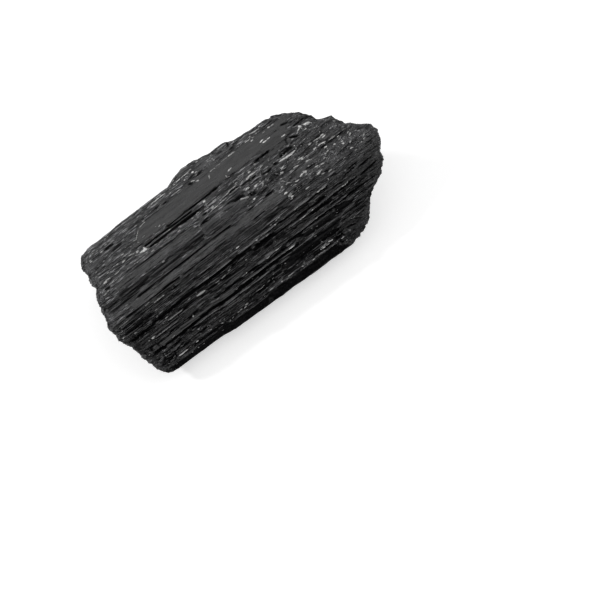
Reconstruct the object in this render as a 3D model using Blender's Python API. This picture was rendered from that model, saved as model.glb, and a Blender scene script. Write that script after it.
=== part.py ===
"""A raw black tourmaline crystal: a broken length of a striated prism, lying on one of its prism faces.

The prism runs along X. Its outline is a section across it, given in millimetres by its corners. A place on
the surface is given by x, along the prism, and by its girth, which is the distance round the outline from
the back shoulder: over the top, down the front, under the foot and up the back. Ribs and furrows run along
the prism at a steady girth, as they grow on tourmaline. Patches are the chips, plates and ledges that
breaking left.
"""

import bpy
import numpy as np
from mathutils import Vector, noise
from mathutils.geometry import delaunay_2d_cdt

MM = 0.001

# The section's corners (y, z), in order of girth. The foot lies at z = 0.
OUTLINE = (
    (12.6, 18.6),  # back shoulder
    (10.1, 19.5),
    (6.0, 19.9),
    (3.3, 19.6),
    (1.1, 19.4),
    (-0.6, 18.5),
    (-3.4, 18.0),
    (-6.3, 16.0),  # top of the front face
    (-14.4, 6.8),
    (-15.1, 4.0),
    (-10.9, 0.0),  # front foot
    (9.4, 0.0),  # back foot
    (13.6, 4.2),
    (14.6, 11.0),
)
CORNER_ROUNDING = 0.45

# Where the prism is broken off at each end, as (girth, x). Both ends lean in towards the foot.
LEFT_BREAK = (
    (0.0, -28.8), (1.6, -29.9), (3.0, -30.5), (6.5, -31.1), (8.5, -31.5), (10.0, -32.2),
    (11.8, -33.1), (13.9, -33.3), (16.1, -34.2), (20.0, -33.8), (22.7, -32.6), (25.1, -31.7),
    (28.3, -30.7), (30.4, -29.6), (31.6, -29.3), (33.5, -28.6), (36.0, -27.2), (41.0, -25.6),
    (48.0, -26.4), (54.0, -24.6), (61.0, -24.9), (67.0, -27.0), (73.0, -26.4),
)
RIGHT_BREAK = (
    (0.0, 19.8), (2.7, 22.4), (3.9, 24.5), (5.9, 26.0), (7.8, 26.2), (8.6, 28.6), (9.9, 29.6),
    (11.2, 30.2), (13.0, 32.1), (14.5, 34.6), (16.7, 35.1), (18.5, 34.7), (19.8, 33.6),
    (22.4, 32.9), (25.2, 30.6), (26.2, 28.3), (28.1, 25.8), (31.5, 23.6), (34.2, 21.2),
    (38.0, 18.8), (44.0, 20.3), (50.0, 17.2), (56.0, 18.0), (61.0, 15.0), (67.0, 16.3), (74.0, 16.0),
)
RAGGED_EDGE, RAGGED_GRAIN = 0.55, 2.2  # how far the rims of the breaks stray from those places, and how often

# How far the back shoulder stands out, as (x, millimetres): a hump, then a narrower right end.
SHOULDER_LINE = (
    (-31.0, -0.2), (-27.0, 0.1), (-6.0, 0.3), (-4.0, 1.1), (-1.5, 1.7), (1.5, 1.3),
    (5.0, 0.4), (8.5, 0.1), (10.5, -0.8), (15.0, -1.1), (19.0, -0.9), (25.0, 0.4),
)
# How far the front's lower edge stands out: it spreads towards the right.
FRONT_LINE = ((-36.0, -0.97), (36.0, 0.97))
# How far the top sinks: it falls away towards the pointed end.
DIP_LINE = ((13.0, 0.0), (36.0, 2.76))
# How much of each of these a place takes, as (girth, share).
SHOULDER_SHARE = ((0.0, 1.0), (3.5, 0.0), (65.0, 0.0))
FRONT_SHARE = ((0.0, 0.0), (17.0, 0.0), (20.0, 0.15), (28.0, 0.9), (31.0, 1.0), (40.0, 1.0), (45.0, 0.0))
DIP_SHARE = ((0.0, 1.0), (21.0, 1.0), (24.0, 0.85), (30.0, 0.15), (33.0, 0.0), (66.0, 0.0))

# Ribs (+) and furrows (-): (girth, width, height, x of the left end, x of the right end).
RIBS = (
    (0.5, 0.8, 0.20, -28.0, -5.0),
    (2.6, 0.5, -0.40, -24.5, -21.5),
    (2.5, 0.5, -0.25, -3.0, -1.0),
    (6.7, 0.4, -0.30, -11.5, 9.0),
    (7.2, 0.4, -0.45, -19.0, -5.0),
    (8.0, 0.6, -0.55, -17.0, -2.5),
    (7.4, 0.5, -0.40, 10.0, 13.5),
    (8.9, 1.0, 0.30, -29.0, 0.0),
    (9.7, 0.7, -0.55, 13.5, 21.0),
    (10.3, 0.6, 0.25, 15.0, 19.0),
    (11.7, 0.5, -0.30, -33.0, -7.0),
    (12.8, 0.4, -0.25, -32.0, -24.0),
    (13.7, 0.5, -0.30, -33.0, -12.5),
    (14.5, 0.4, -0.30, -24.0, -0.5),
    (16.4, 0.5, -0.35, -30.0, -16.5),
    (17.4, 0.9, -0.25, -33.0, -24.0),
    (19.1, 1.1, -0.60, -33.0, -24.0),
    (20.1, 1.0, 0.35, -33.0, -21.0),
    (20.0, 0.6, 0.25, -13.5, 20.0),
    (20.9, 0.8, -0.65, -32.5, 0.5),
    (21.1, 1.2, -0.60, 0.5, 5.5),
    (20.4, 0.6, -0.50, 6.0, 20.5),
    (21.9, 0.6, -0.50, 6.0, 22.5),
    (22.4, 0.7, 0.30, -15.0, -12.5),
    (23.0, 0.8, -0.50, 8.0, 22.5),
    (24.6, 0.5, 0.25, -1.5, 28.0),
    (25.1, 0.6, -0.45, -15.0, 28.0),
    (25.8, 1.0, 0.35, -30.5, -4.0),
    (26.9, 0.8, -0.65, -29.0, 7.5),
    (26.2, 1.4, -0.50, 7.5, 25.0),
    (27.4, 0.6, 0.30, -18.0, 24.0),
    (29.0, 1.2, -0.25, -29.0, 10.0),
    (30.1, 1.0, -0.40, -29.0, -23.0),
    (29.9, 0.6, -0.35, -9.0, 0.0),
    (30.6, 0.8, 0.35, 10.5, 14.5),
    (31.5, 1.0, -0.60, 13.0, 17.0),
    (31.9, 0.8, 0.40, -26.0, 16.0),
)
# The sides that those leave bare get ribs of their own, spaced by chance.
BARE_GIRTHS = ((35.0, 40.0), (42.5, 58.0), (61.0, 80.0))
BARE_RIB_WIDTHS = (0.9, 2.4)
BARE_RIB_HEIGHTS = (-0.7, 0.35)
BARE_RIB_ENDS = (-46.0, 22.0)
BARE_RIB_SEED = 7
RIB_FADE = 1.6  # length over which a rib dies away

# Plates (+), chips and sunken steps (-): (x, girth, half length, half girth, height).
PATCHES = (
    (0.5, 12.0, 6.8, 1.5, 0.35),  # thin plate on the top
    (8.0, 11.2, 2.2, 0.9, -0.45),  # chip at its end
    (23.0, 13.4, 11.5, 3.9, -0.55),  # sunken right end of the top
    (10.5, 12.5, 1.6, 3.4, -0.35),  # ragged step before it
    (-25.0, 3.5, 5.0, 2.5, 0.15),
    (19.5, 8.0, 1.8, 1.4, -0.45),
    (18.5, 32.0, 3.4, 3.4, -0.55),  # broken lower right corner
    (-29.5, 28.0, 3.0, 5.0, -0.45),  # broken lower left corner
    (-8.0, 70.0, 9.0, 4.0, -0.60),
    (9.0, 74.0, 6.0, 3.0, 0.45),
    (4.0, 64.5, 8.0, 2.0, -0.55),
    (-23.0, 76.0, 5.0, 3.5, -0.50),
    (15.0, 47.0, 6.0, 3.0, -0.55),  # broken corners of the foot
    (-22.0, 56.0, 5.0, 4.0, -0.60),
    (20.0, 10.6, 3.2, 0.9, 0.40),  # ledges on the sunken end
    (26.5, 11.6, 3.0, 0.8, 0.35),
    (20.5, 14.6, 3.0, 0.7, 0.35),
    (27.5, 16.2, 3.4, 0.9, -0.40),
)
PATCH_EDGE = 0.25  # share of a patch over which it rises
PATCH_WANDER = 0.35  # how far its outline strays
WANDER_GRAIN = (4.0, 2.0)  # size of the straying, along and across

FRACTURE, FRACTURE_GRAIN = 0.16, (2.6, 1.1)  # roughness of the skin, and its grain along and across
RIM_WEAR, RIM_REACH = 0.45, 1.8  # how far the ends' rims are worn back, and over what length
RIM_VARIETY = 1.2  # how unevenly
FOOT_GIRTHS = (40.0, 41.0, 61.0, 62.0)  # the foot lies between the middle two
FOOT_FLATNESS = 0.12  # the foot is flat except where it is furrowed deeper than this

END_FRACTURE, END_GRAIN = 4.5, (1.0, 5.5)  # relief of the broken ends, and the size of its lumps
END_HOLLOW = 2.2  # how far the ends are sunk behind their rims
END_REACH = 2.5  # how far in from the rim the ends take after it
END_SPACING = 1.7  # distance between the points that carry that relief
END_SCATTER = 0.28  # how far each strays, as a share of that distance
END_SEED = 11

STATIONS_ALONG = 42
LEAST_GIRTH_STEP = 0.37
WIDEST_GIRTH_STEP = 1.5

SCHORL_BLACK = (0.012, 0.012, 0.013, 1.0)
SCHORL_ROUGHNESS = 0.35
SCHORL_IOR = 1.64

CORNERS = np.array(OUTLINE + OUTLINE[:1])
CORNER_GIRTHS = np.concatenate([[0.0], np.cumsum(np.hypot(*np.diff(CORNERS, axis=0).T))])
GIRTH = CORNER_GIRTHS[-1]


def table(points, at):
    """Straight lines through the points, read at the given places."""
    across, up = zip(*points)
    return np.interp(at, across, up)


def ring_table(points, girth):
    """A table that goes right round the outline and meets itself."""
    return table(points + ((GIRTH, points[0][1]),), girth % GIRTH)


def smooth_step(share):
    share = np.clip(share, 0.0, 1.0)
    return share * share * (3.0 - 2.0 * share)


def fractal(x, y, z, grain, offset=0.0):
    """Fractal noise whose grain has the given size along and across the prism."""
    along, across = grain
    places = zip((x / along + offset).flat, (y / across).flat, (z / across).flat)
    return np.reshape([noise.fractal(place, 1.0, 2.0, 3) for place in places], x.shape)


def on_outline(girth):
    """(y, z) on the outline, its corners eased by CORNER_ROUNDING, and the outward normal there."""
    spread = []
    for step in (-2, -1, 0, 1, 2):
        at = (girth + step * CORNER_ROUNDING) % GIRTH
        spread.append(np.stack([np.interp(at, CORNER_GIRTHS, CORNERS[:, k]) for k in (0, 1)]))
    place = (spread[1] + spread[2] + spread[3]) / 3.0
    run = spread[4] - spread[0]
    run /= np.hypot(*run)
    return place, np.stack([run[1], -run[0]])


def bare_ribs():
    """The ribs of the sides that RIBS leaves bare."""
    chance = np.random.RandomState(BARE_RIB_SEED)
    ribs = []
    for start, end in BARE_GIRTHS:
        girth = start
        while girth < end:
            width = chance.uniform(*BARE_RIB_WIDTHS)
            left = chance.uniform(*BARE_RIB_ENDS)
            right = -chance.uniform(*BARE_RIB_ENDS)
            height = chance.uniform(*BARE_RIB_HEIGHTS)
            ribs.append((girth + width / 2, width, height, min(left, right), right))
            girth += width
    return tuple(ribs)


ALL_RIBS = RIBS + bare_ribs()


def rib_height(x, girth):
    """The sum of the ribs and furrows at a place on the surface."""
    height = np.zeros_like(x)
    for centre, width, lift, left, right in ALL_RIBS:
        across = 1.0 - np.abs(girth - centre) / (width / 2)
        along = np.minimum(x - left, right - x) / RIB_FADE
        height += lift * np.clip(across, 0.0, 1.0) * smooth_step(along)
    return height


def patch_height(x, girth, wander):
    """The sum of the patches, whose edges wander by the noise given."""
    height = np.zeros_like(x)
    for centre, round_at, half_x, half_girth, lift in PATCHES:
        away = np.hypot((x - centre) / half_x, (girth - round_at) / half_girth) + PATCH_WANDER * wander
        height += lift * smooth_step((1.0 - away) / PATCH_EDGE)
    return height


def surface(x, girth):
    """The points of the crystal's skin, as arrays of x, y and z."""
    (y, z), (out_y, out_z) = on_outline(girth)
    y = y + table(SHOULDER_LINE, x) * ring_table(SHOULDER_SHARE, girth)
    y = y - table(FRONT_LINE, x) * ring_table(FRONT_SHARE, girth)
    z = z - table(DIP_LINE, x) * ring_table(DIP_SHARE, girth)

    wander = fractal(x, y, z, WANDER_GRAIN)
    height = rib_height(x, girth) + patch_height(x, girth, wander)
    height += FRACTURE * fractal(x, y, z, FRACTURE_GRAIN, offset=40.0)
    rim = np.minimum(x - ring_table(LEFT_BREAK, girth), ring_table(RIGHT_BREAK, girth) - x)
    height -= RIM_WEAR * (1.0 - smooth_step(rim / RIM_REACH)) * (1.0 + RIM_VARIETY * wander)
    flat = np.interp(girth, FOOT_GIRTHS, (0.0, 1.0, 1.0, 0.0))
    height = height * (1.0 - flat) + np.minimum(height + FOOT_FLATNESS, 0.0) * flat
    return x, y + out_y * height, np.maximum(z + out_z * height, 0.0)


def girth_stations():
    """The girths that carry points: first the boldest crests, then corners and edges, then fill between."""
    bold_first = sorted(ALL_RIBS, key=lambda rib: -abs(rib[2]))
    wanted = [rib[0] for rib in bold_first] + list(CORNER_GIRTHS[:-1])
    wanted += [rib[0] + side * rib[1] / 2 for rib in bold_first for side in (-1, 1)]
    kept = []
    for girth in wanted:
        if all(abs((girth - other + GIRTH / 2) % GIRTH - GIRTH / 2) > LEAST_GIRTH_STEP for other in kept):
            kept.append(girth % GIRTH)
    kept.sort()
    stations = []
    for girth, after in zip(kept, kept[1:] + [kept[0] + GIRTH]):
        pieces = int(np.ceil((after - girth) / WIDEST_GIRTH_STEP))
        stations += list(np.linspace(girth, after, pieces + 1)[:-1])
    return np.array(stations) % GIRTH


def break_line(points, girth):
    """Where a break crosses the surface, ragged as a snapped edge is."""
    elsewhere = np.full_like(girth, points[0][1])
    waver = fractal(girth, elsewhere, np.zeros_like(girth), (RAGGED_GRAIN, 1.0))
    return ring_table(points, girth) + RAGGED_EDGE * waver


def inside(points, rim):
    """Which of the points (y, z) lie within the closed line of the rim."""
    crossings = np.zeros(len(points), dtype=int)
    for (y0, z0), (y1, z1) in zip(rim, np.roll(rim, -1, axis=0)):
        if z0 != z1:
            between = (z0 > points[:, 1]) != (z1 > points[:, 1])
            crossings += between & (points[:, 0] < y0 + (points[:, 1] - z0) * (y1 - y0) / (z1 - z0))
    return crossings % 2 == 1


def distances(points, rim):
    return np.hypot(*(points[:, None] - rim[None]).transpose(2, 0, 1))


def strewn_points(rim, chance):
    """Points (y, z) strewn over an end, each about END_SPACING from the next and clear of the rim."""
    low, high = rim.min(axis=0), rim.max(axis=0)
    rows = np.arange(low[1], high[1], END_SPACING * np.sqrt(0.75))
    strewn = [
        (y + (row % 2) * END_SPACING / 2, z)
        for row, z in enumerate(rows)
        for y in np.arange(low[0], high[0], END_SPACING)
    ]
    strewn = np.array(strewn) + chance.uniform(-END_SCATTER, END_SCATTER, (len(strewn), 2)) * END_SPACING
    clear = distances(strewn, rim).min(axis=1) > END_SPACING / 2
    return strewn[inside(strewn, rim) & clear]


def end_face(rim, side):
    """The broken face that closes an end: its new points, and triangles that number the rim's points first.

    The points take after the rim where they are near it, and after a hollowed, lumpy plane elsewhere.
    """
    flat = rim[:, 1:]
    strewn = strewn_points(flat, np.random.RandomState(END_SEED + side))
    apart = distances(strewn, flat)
    nearness = apart**-3.0
    from_rim = (nearness * rim[:, 0]).sum(axis=1) / nearness.sum(axis=1)
    level = np.linalg.lstsq(np.c_[np.ones(len(rim)), flat], rim[:, 0], rcond=None)[0]
    lumps = fractal(np.full(len(strewn), 80.0 * side), strewn[:, 0], strewn[:, 1], END_GRAIN)
    broken = level[0] + strewn @ level[1:] + side * (END_FRACTURE * lumps - END_HOLLOW)
    x = broken + (from_rim - broken) * np.exp(-apart.min(axis=1) / END_REACH)

    corners = [Vector(place) for place in np.concatenate([flat, strewn])]
    loop = [(i, (i + 1) % len(rim)) for i in range(len(rim))]
    _, _, triangles, sources, _, _ = delaunay_2d_cdt(corners, loop, [], 1, 1e-6)
    faces = [tuple(sources[i][0] for i in triangle) for triangle in triangles]
    return np.c_[x, strewn], faces if side > 0 else [face[::-1] for face in faces]


def skin_triangles(skin):
    """Two triangles for each four neighbouring points, split along the shorter diagonal."""
    rows, around = skin.shape[:2]
    here = np.arange(around)
    after = (here + 1) % around
    faces = []
    for row in range(rows - 1):
        rising = np.linalg.norm(skin[row, here] - skin[row + 1, after], axis=1)
        falling = np.linalg.norm(skin[row, after] - skin[row + 1, here], axis=1)
        near, far = row * around, (row + 1) * around
        for a, b, along_rise in zip(here, after, rising < falling):
            if along_rise:
                faces += [(near + a, near + b, far + b), (near + a, far + b, far + a)]
            else:
                faces += [(near + a, near + b, far + a), (near + b, far + b, far + a)]
    return faces


def crystal_mesh():
    """The whole skin, as points in metres and faces."""
    girth = girth_stations()
    left, right = break_line(LEFT_BREAK, girth), break_line(RIGHT_BREAK, girth)
    share = np.linspace(0.0, 1.0, STATIONS_ALONG)[:, None]
    x = left.mean() + (right.mean() - left.mean()) * share
    x = x + (left - left.mean()) * (1.0 - share) ** 3 + (right - right.mean()) * share**3
    skin = np.stack(surface(x, np.broadcast_to(girth, x.shape)), axis=-1)

    around = len(girth)
    faces = skin_triangles(skin)
    points = skin.reshape(-1, 3)
    for first, side in ((0, -1), (len(points) - around, 1)):
        inner, triangles = end_face(points[first : first + around], side)
        base = len(points) - around
        faces += [tuple(first + i if i < around else base + i for i in face) for face in triangles]
        points = np.concatenate([points, inner])
    return points * MM, [tuple(int(i) for i in face) for face in faces]


def schorl():
    """The crystal's black, glassy finish."""
    material = bpy.data.materials.new("schorl")
    material.use_nodes = True
    shader = material.node_tree.nodes["Principled BSDF"]
    shader.inputs["Base Color"].default_value = SCHORL_BLACK
    shader.inputs["Roughness"].default_value = SCHORL_ROUGHNESS
    shader.inputs["IOR"].default_value = SCHORL_IOR
    return material


def main():
    for old in list(bpy.data.objects):
        bpy.data.objects.remove(old)
    points, faces = crystal_mesh()
    mesh = bpy.data.meshes.new("tourmaline_crystal")
    mesh.from_pydata(points.tolist(), [], faces)
    mesh.materials.append(schorl())
    crystal = bpy.data.objects.new("tourmaline_crystal", mesh)
    bpy.context.scene.collection.objects.link(crystal)


main()
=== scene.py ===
import functools
import math

import bpy
import numpy as np
from mathutils import Matrix, Vector, noise
from mathutils.geometry import delaunay_2d_cdt

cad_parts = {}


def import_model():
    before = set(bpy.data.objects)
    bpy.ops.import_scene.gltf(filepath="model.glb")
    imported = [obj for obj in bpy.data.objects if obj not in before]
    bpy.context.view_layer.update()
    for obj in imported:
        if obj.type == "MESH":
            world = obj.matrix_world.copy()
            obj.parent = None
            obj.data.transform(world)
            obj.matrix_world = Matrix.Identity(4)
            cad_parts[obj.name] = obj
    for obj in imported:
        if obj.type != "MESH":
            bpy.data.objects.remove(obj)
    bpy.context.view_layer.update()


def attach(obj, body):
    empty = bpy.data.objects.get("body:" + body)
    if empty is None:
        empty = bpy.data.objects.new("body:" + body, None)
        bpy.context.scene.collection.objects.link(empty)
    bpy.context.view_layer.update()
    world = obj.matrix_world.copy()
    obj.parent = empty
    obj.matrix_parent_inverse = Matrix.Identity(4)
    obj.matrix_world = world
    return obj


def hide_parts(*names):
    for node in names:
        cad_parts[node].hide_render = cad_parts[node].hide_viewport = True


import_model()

MM = 0.001
HUNDREDTHS = 100  # in a millimetre

# ---------------------------------------------------------------------------------------------------------
# The crystal's form, in millimetres. A place on it is given by x, along the prism, and by its girth: the
# distance round the section's outline, from the back shoulder over the top and down the front to the foot.

OUTLINE = (
    (12.6, 18.6), (10.1, 19.5), (6, 19.9), (3.3, 19.6), (1.1, 19.4), (-0.6, 18.5), (-3.4, 18),  # over the top
    (-6.3, 16), (-14.2, 7.03), (-15.1, 4), (-10.9, 0),  # down the front to the front foot
    (9.4, 0), (13.6, 4.2), (14.6, 11),  # up the back
)
CORNER_ROUNDING = 0.17

# Where the prism is broken off at each end, as (girth, x).
LEFT_BREAK = (
    (0, -28.8), (1.6, -29.9), (3, -30.6), (6.5, -30.9), (8.5, -31.2), (10, -32.2),
    (11.8, -33.1), (13.9, -33.3), (16.1, -34.2), (20, -33.8), (22.7, -32.6), (25.1, -31.7),
    (28.3, -31), (30.4, -30.1), (31.6, -29.8), (33.5, -28.9), (36, -27.4), (41, -25.6),
    (48, -26.4), (54, -24.6), (61, -24.9), (67, -27), (73, -26.4),
)
RIGHT_BREAK = (
    (0, 19.8), (2.7, 22.4), (3.9, 24.5), (5.9, 26), (7.7, 26.4), (8.4, 29.1), (9.9, 29.8),
    (11.2, 30.5), (13, 32.4), (14.5, 34.6), (16.7, 35.1), (18.5, 34.7), (19.8, 33.6),
    (22.4, 32.9), (25.2, 30.2), (26.2, 28), (28.1, 25.8), (31.5, 23.6), (34.2, 20.9),
    (38, 18.8), (44, 20.3), (50, 17.2), (56, 18), (61, 15), (67, 16.3), (74, 16),
)

# How far the back shoulder stands out, as (x, millimetres): a hump, then a narrower right end.
SHOULDER_LINE = (
    (-31, -0.3), (-27, -0.1), (-6, 0.1), (-4, 1), (-1.5, 1.6), (1.5, 1.2),
    (5, 0.5), (8.5, 0.4), (10.5, -0.5), (15, -0.8), (19, -0.7), (25, 0.4),
)
# How far the front's lower edge stands out, and how far the top sinks towards the pointed end.
FRONT_LINE = (
    (-36, -0.97), (-14, -0.56), (-11.5, -0.05), (-2.6, 0.2), (4.7, 0.4), (20, 0.72), (36, 0.97),
)
DIP_LINE = ((13, 0), (36, 2.76))
# How much of each of these a place takes, as (girth, share).
SHOULDER_SHARE = ((0, 1), (3.5, 0), (65, 0))
FRONT_SHARE = ((0, 0), (17, 0), (20, 0.15), (28, 0.9), (31, 1), (40, 1), (45, 0))
DIP_SHARE = ((0, 1), (21, 1), (24, 0.85), (30, 0.15), (33, 0), (66, 0))

# Ribs (+) and furrows (-), in hundredths of a millimetre:
# (left x, right x, girth at the left, girth at the right, width, height).
RIBS = (
    (1463, 1615, 59, -120, 40, -45), (844, 983, 132, -171, 60, -60), (1650, 1942, 170, 155, 42, -45),
    (789, 971, 222, 165, 40, -38), (-237, 32, 221, 214, 40, -30), (-1165, -999, 243, 231, 40, -45),
    (-118, 172, 249, 233, 40, -38), (-974, -829, 270, 258, 40, -38), (-319, -167, 284, 303, 42, -52),
    (-2499, -2225, 309, 312, 60, -68), (-2062, -835, 318, 311, 48, 18), (-2427, -2071, 421, 420, 40, -30),
    (1944, 2133, 411, 451, 54, -60), (-748, -383, 471, 408, 35, -1), (1554, 1930, 463, 444, 30, -8),
    (-1312, -748, 497, 476, 35, -2), (2096, 2589, 596, 552, 40, -30), (-50, 980, 683, 665, 40, -22),
    (-1258, 155, 713, 692, 36, -75), (-1229, -514, 738, 733, 30, 25), (944, 1444, 743, 729, 48, -68),
    (-1860, -587, 750, 764, 42, -90), (-1710, -567, 797, 795, 36, 30), (1914, 2121, 743, 818, 60, -75),
    (-927, -313, 830, 836, 60, -60), (-1773, -450, 838, 831, 50, -95), (1574, 1734, 897, 895, 40, -38),
    (185, 381, 910, 892, 36, 30), (164, 482, 930, 937, 42, -60), (512, 771, 950, 908, 36, 25),
    (-2913, -2102, 942, 932, 48, 30), (1464, 1886, 969, 921, 54, -60), (-1900, -575, 966, 962, 48, 30),
    (-514, -381, 972, 971, 40, -45), (470, 902, 976, 973, 40, -50), (-373, 491, 1012, 961, 42, 30),
    (-3016, -2875, 983, 992, 60, -60), (-2410, -781, 1005, 994, 40, -22), (1779, 2096, 1012, 1001, 40, -52),
    (1262, 1396, 981, 1044, 72, -75), (963, 1207, 1033, 1058, 48, -52), (2174, 2564, 1069, 1044, 40, -30),
    (-714, -467, 1088, 1049, 36, 25), (-720, -420, 1122, 1074, 40, -50), (85, 603, 1061, 1078, 36, 30),
    (0, 190, 1078, 1106, 40, -50), (130, 460, 1115, 1149, 75, -90), (-184, 124, 1166, 1205, 40, -18),
    (493, 670, 1203, 1271, 84, -60), (2264, 2992, 1304, 1273, 40, -38), (-1294, -701, 1302, 1324, 60, -30),
    (589, 928, 1312, 1319, 60, -38), (-3241, -2107, 1327, 1316, 40, -30), (-680, -250, 1389, 1387, 40, -22),
    (-3246, -2411, 1410, 1408, 40, -38), (713, 1010, 1432, 1426, 40, -45),
    (-2817, -1294, 1445, 1442, 20, 10), (219, 507, 1455, 1448, 40, -22), (1761, 2071, 1456, 1489, 40, -38),
    (-2615, -130, 1489, 1471, 41, -60), (215, 626, 1661, 1665, 40, -45), (-1602, -379, 1696, 1664, 40, -38),
    (-3052, -1603, 1687, 1680, 40, -60), (1256, 1541, 1698, 1687, 40, -45),
    (-2868, -2453, 1723, 1716, 40, 22), (3109, 3238, 1747, 1742, 40, -45),
    (-1862, -1638, 1760, 1759, 40, 30), (-2438, -2083, 1785, 1783, 40, 30),
    (-2002, -1432, 1793, 1795, 40, -45), (432, 966, 1826, 1823, 40, -30), (435, 1042, 1867, 1863, 40, -45),
    (-3251, -2908, 1872, 1868, 40, 30), (2068, 2303, 1878, 1868, 40, -45),
    (-1385, -825, 1884, 1875, 40, 30), (-2095, -1943, 1905, 1904, 40, -45),
    (-1464, -975, 1917, 1908, 40, -45), (2439, 2801, 1958, 1932, 40, -52), (672, 1990, 2000, 1968, 42, 38),
    (2317, 2699, 2021, 1993, 40, -52), (-454, 672, 2027, 2006, 42, 38), (316, 1982, 2037, 2000, 48, -75),
    (2683, 3133, 2036, 2020, 40, -52), (-1574, -515, 2050, 2034, 42, 38), (1407, 1831, 2089, 2067, 40, 30),
    (1136, 1428, 2091, 2083, 40, -45), (-958, -37, 2091, 2087, 78, -98),
    (-2124, -753, 2130, 2089, 84, -105), (-3220, -1972, 2213, 2128, 72, -98),
    (902, 1843, 2190, 2156, 54, -83), (-1252, -437, 2185, 2167, 40, -38), (2621, 3173, 2227, 2147, 48, -60),
    (367, 1005, 2191, 2189, 48, -75), (1270, 2357, 2230, 2163, 42, 38), (1748, 2650, 2251, 2198, 40, -60),
    (753, 1410, 2232, 2222, 48, 45), (1222, 1912, 2282, 2293, 70, -90), (-1361, -465, 2294, 2267, 42, -60),
    (41, 420, 2294, 2288, 40, -38), (402, 731, 2306, 2300, 40, -45), (-2387, -1890, 2306, 2303, 40, 38),
    (2440, 2844, 2320, 2299, 40, -45), (-2374, -1339, 2337, 2306, 40, -45),
    (797, 1228, 2333, 2320, 40, -45), (1660, 2242, 2390, 2359, 40, -38),
    (-2779, -2040, 2420, 2404, 40, -45), (874, 2245, 2451, 2387, 42, 38),
    (-2776, -2087, 2452, 2442, 40, 38), (530, 2791, 2498, 2397, 40, -68), (-212, 545, 2485, 2458, 48, 45),
    (-2766, -2033, 2502, 2465, 40, -45), (-611, -416, 2494, 2495, 48, 45),
    (-1620, -1316, 2511, 2498, 40, -45), (-1291, 18, 2533, 2515, 42, -68),
    (-2427, -1615, 2573, 2553, 40, -45), (-2767, -2223, 2630, 2580, 40, -52),
    (-686, 801, 2626, 2607, 42, 45), (-167, 860, 2677, 2662, 72, -83), (560, 2320, 2716, 2653, 50, 35),
    (-1998, 37, 2759, 2666, 90, -112), (-1940, 47, 2818, 2747, 42, 45), (-2897, -1795, 2821, 2752, 72, -98),
    (-2037, -562, 2856, 2800, 40, -60), (-2791, -2296, 2859, 2816, 42, 30),
    (-2692, -2188, 2894, 2872, 40, -45), (178, 641, 2964, 2962, 40, -45), (-468, -223, 2979, 2971, 48, 45),
    (-2901, -2281, 3008, 2947, 42, 38), (-2898, -2228, 3041, 2969, 40, -52),
    (-668, 58, 3020, 2997, 42, -75), (1117, 1481, 3046, 2976, 72, 75), (-2525, -1611, 3038, 3008, 40, -52),
    (1162, 1469, 3074, 3040, 42, -60), (-2815, -2472, 3090, 3060, 40, -45),
    (1474, 1764, 3075, 3133, 108, -90), (-262, 675, 3110, 3103, 48, 33),
    (-2722, -2480, 3139, 3128, 84, -90), (616, 1729, 3123, 3155, 48, 33),
    (-2597, -2234, 3167, 3143, 48, 45), (-736, -338, 3180, 3159, 42, 30), (-1146, -758, 3181, 3167, 42, 30),
    (-2145, -1227, 3192, 3185, 40, -52), (1830, 2120, 3020, 3100, 45, -60),
    (1790, 2040, 3260, 3160, 40, -50), (1840, 2060, 3360, 3300, 45, -50), (2040, 2260, 2940, 3020, 40, -50),
)

# Facets that lean, with a sharp step at each side:
# (left x, right x, girth at the left, girth at the right, width, lean).
BANDS = (
    (9.72, 19.67, 8.04, 7.61, 1.2, 0.14), (-32.67, -6.83, 13.12, 12.88, 1.9, 0.2),
    (-32.74, -23.57, 18.04, 17.95, 0.9, 0.25), (-32.63, -24.99, 19.52, 19.4, 1, 0.4),
    (-32.52, -21.86, 20.72, 20.39, 0.8, -0.28), (-0.4, 5.2, 21.1, 21.05, 1.2, 0.8),
    (-3.36, 5.86, 25.58, 25.31, 0.7, 0.35), (9.3, 18.5, 25.72, 25.72, 1.3, 0.45),
    (17.5, 23.5, 25.35, 25.35, 1.1, 0.35), (-29.1, -6.89, 27.09, 26.08, 1, -0.3),
    (0.47, 20.12, 27.47, 26.85, 0.6, -0.25), (-13.64, 3, 29.2, 29.2, 1.5, 0.4),
    (2.4, 18.21, 28.74, 28.74, 1.5, 0.4),
)

# The sides out of sight have ribs by chance: at which girths, how wide and high, and from where to where.
BARE_GIRTHS = ((35.0, 40.0), (42.5, 58.0), (61.0, 80.0))
BARE_RIB_WIDTHS = (0.45, 1.7)
BARE_RIB_HEIGHTS = (-0.8, 0.5)
BARE_RIB_ENDS = (-46.0, 22.0)
BARE_RIB_SEED = 7
RIB_FADE = 1.0  # over what length a rib rises at its ends
FADES_IN_RIB = 3  # a short one rises over this part of its length
BAND_STEP = 0.12  # how much of a facet's half width its step takes
# The pale line on narrow raised ribs is a painted highlight, for the light that a thin ridge catches.
CREST_WIDTH, CREST_HEIGHT = 0.6, 0.4  # ribs narrower than this carry a pale line, whole on ribs this high
CREST_SHARPNESS = 1.5

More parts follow.
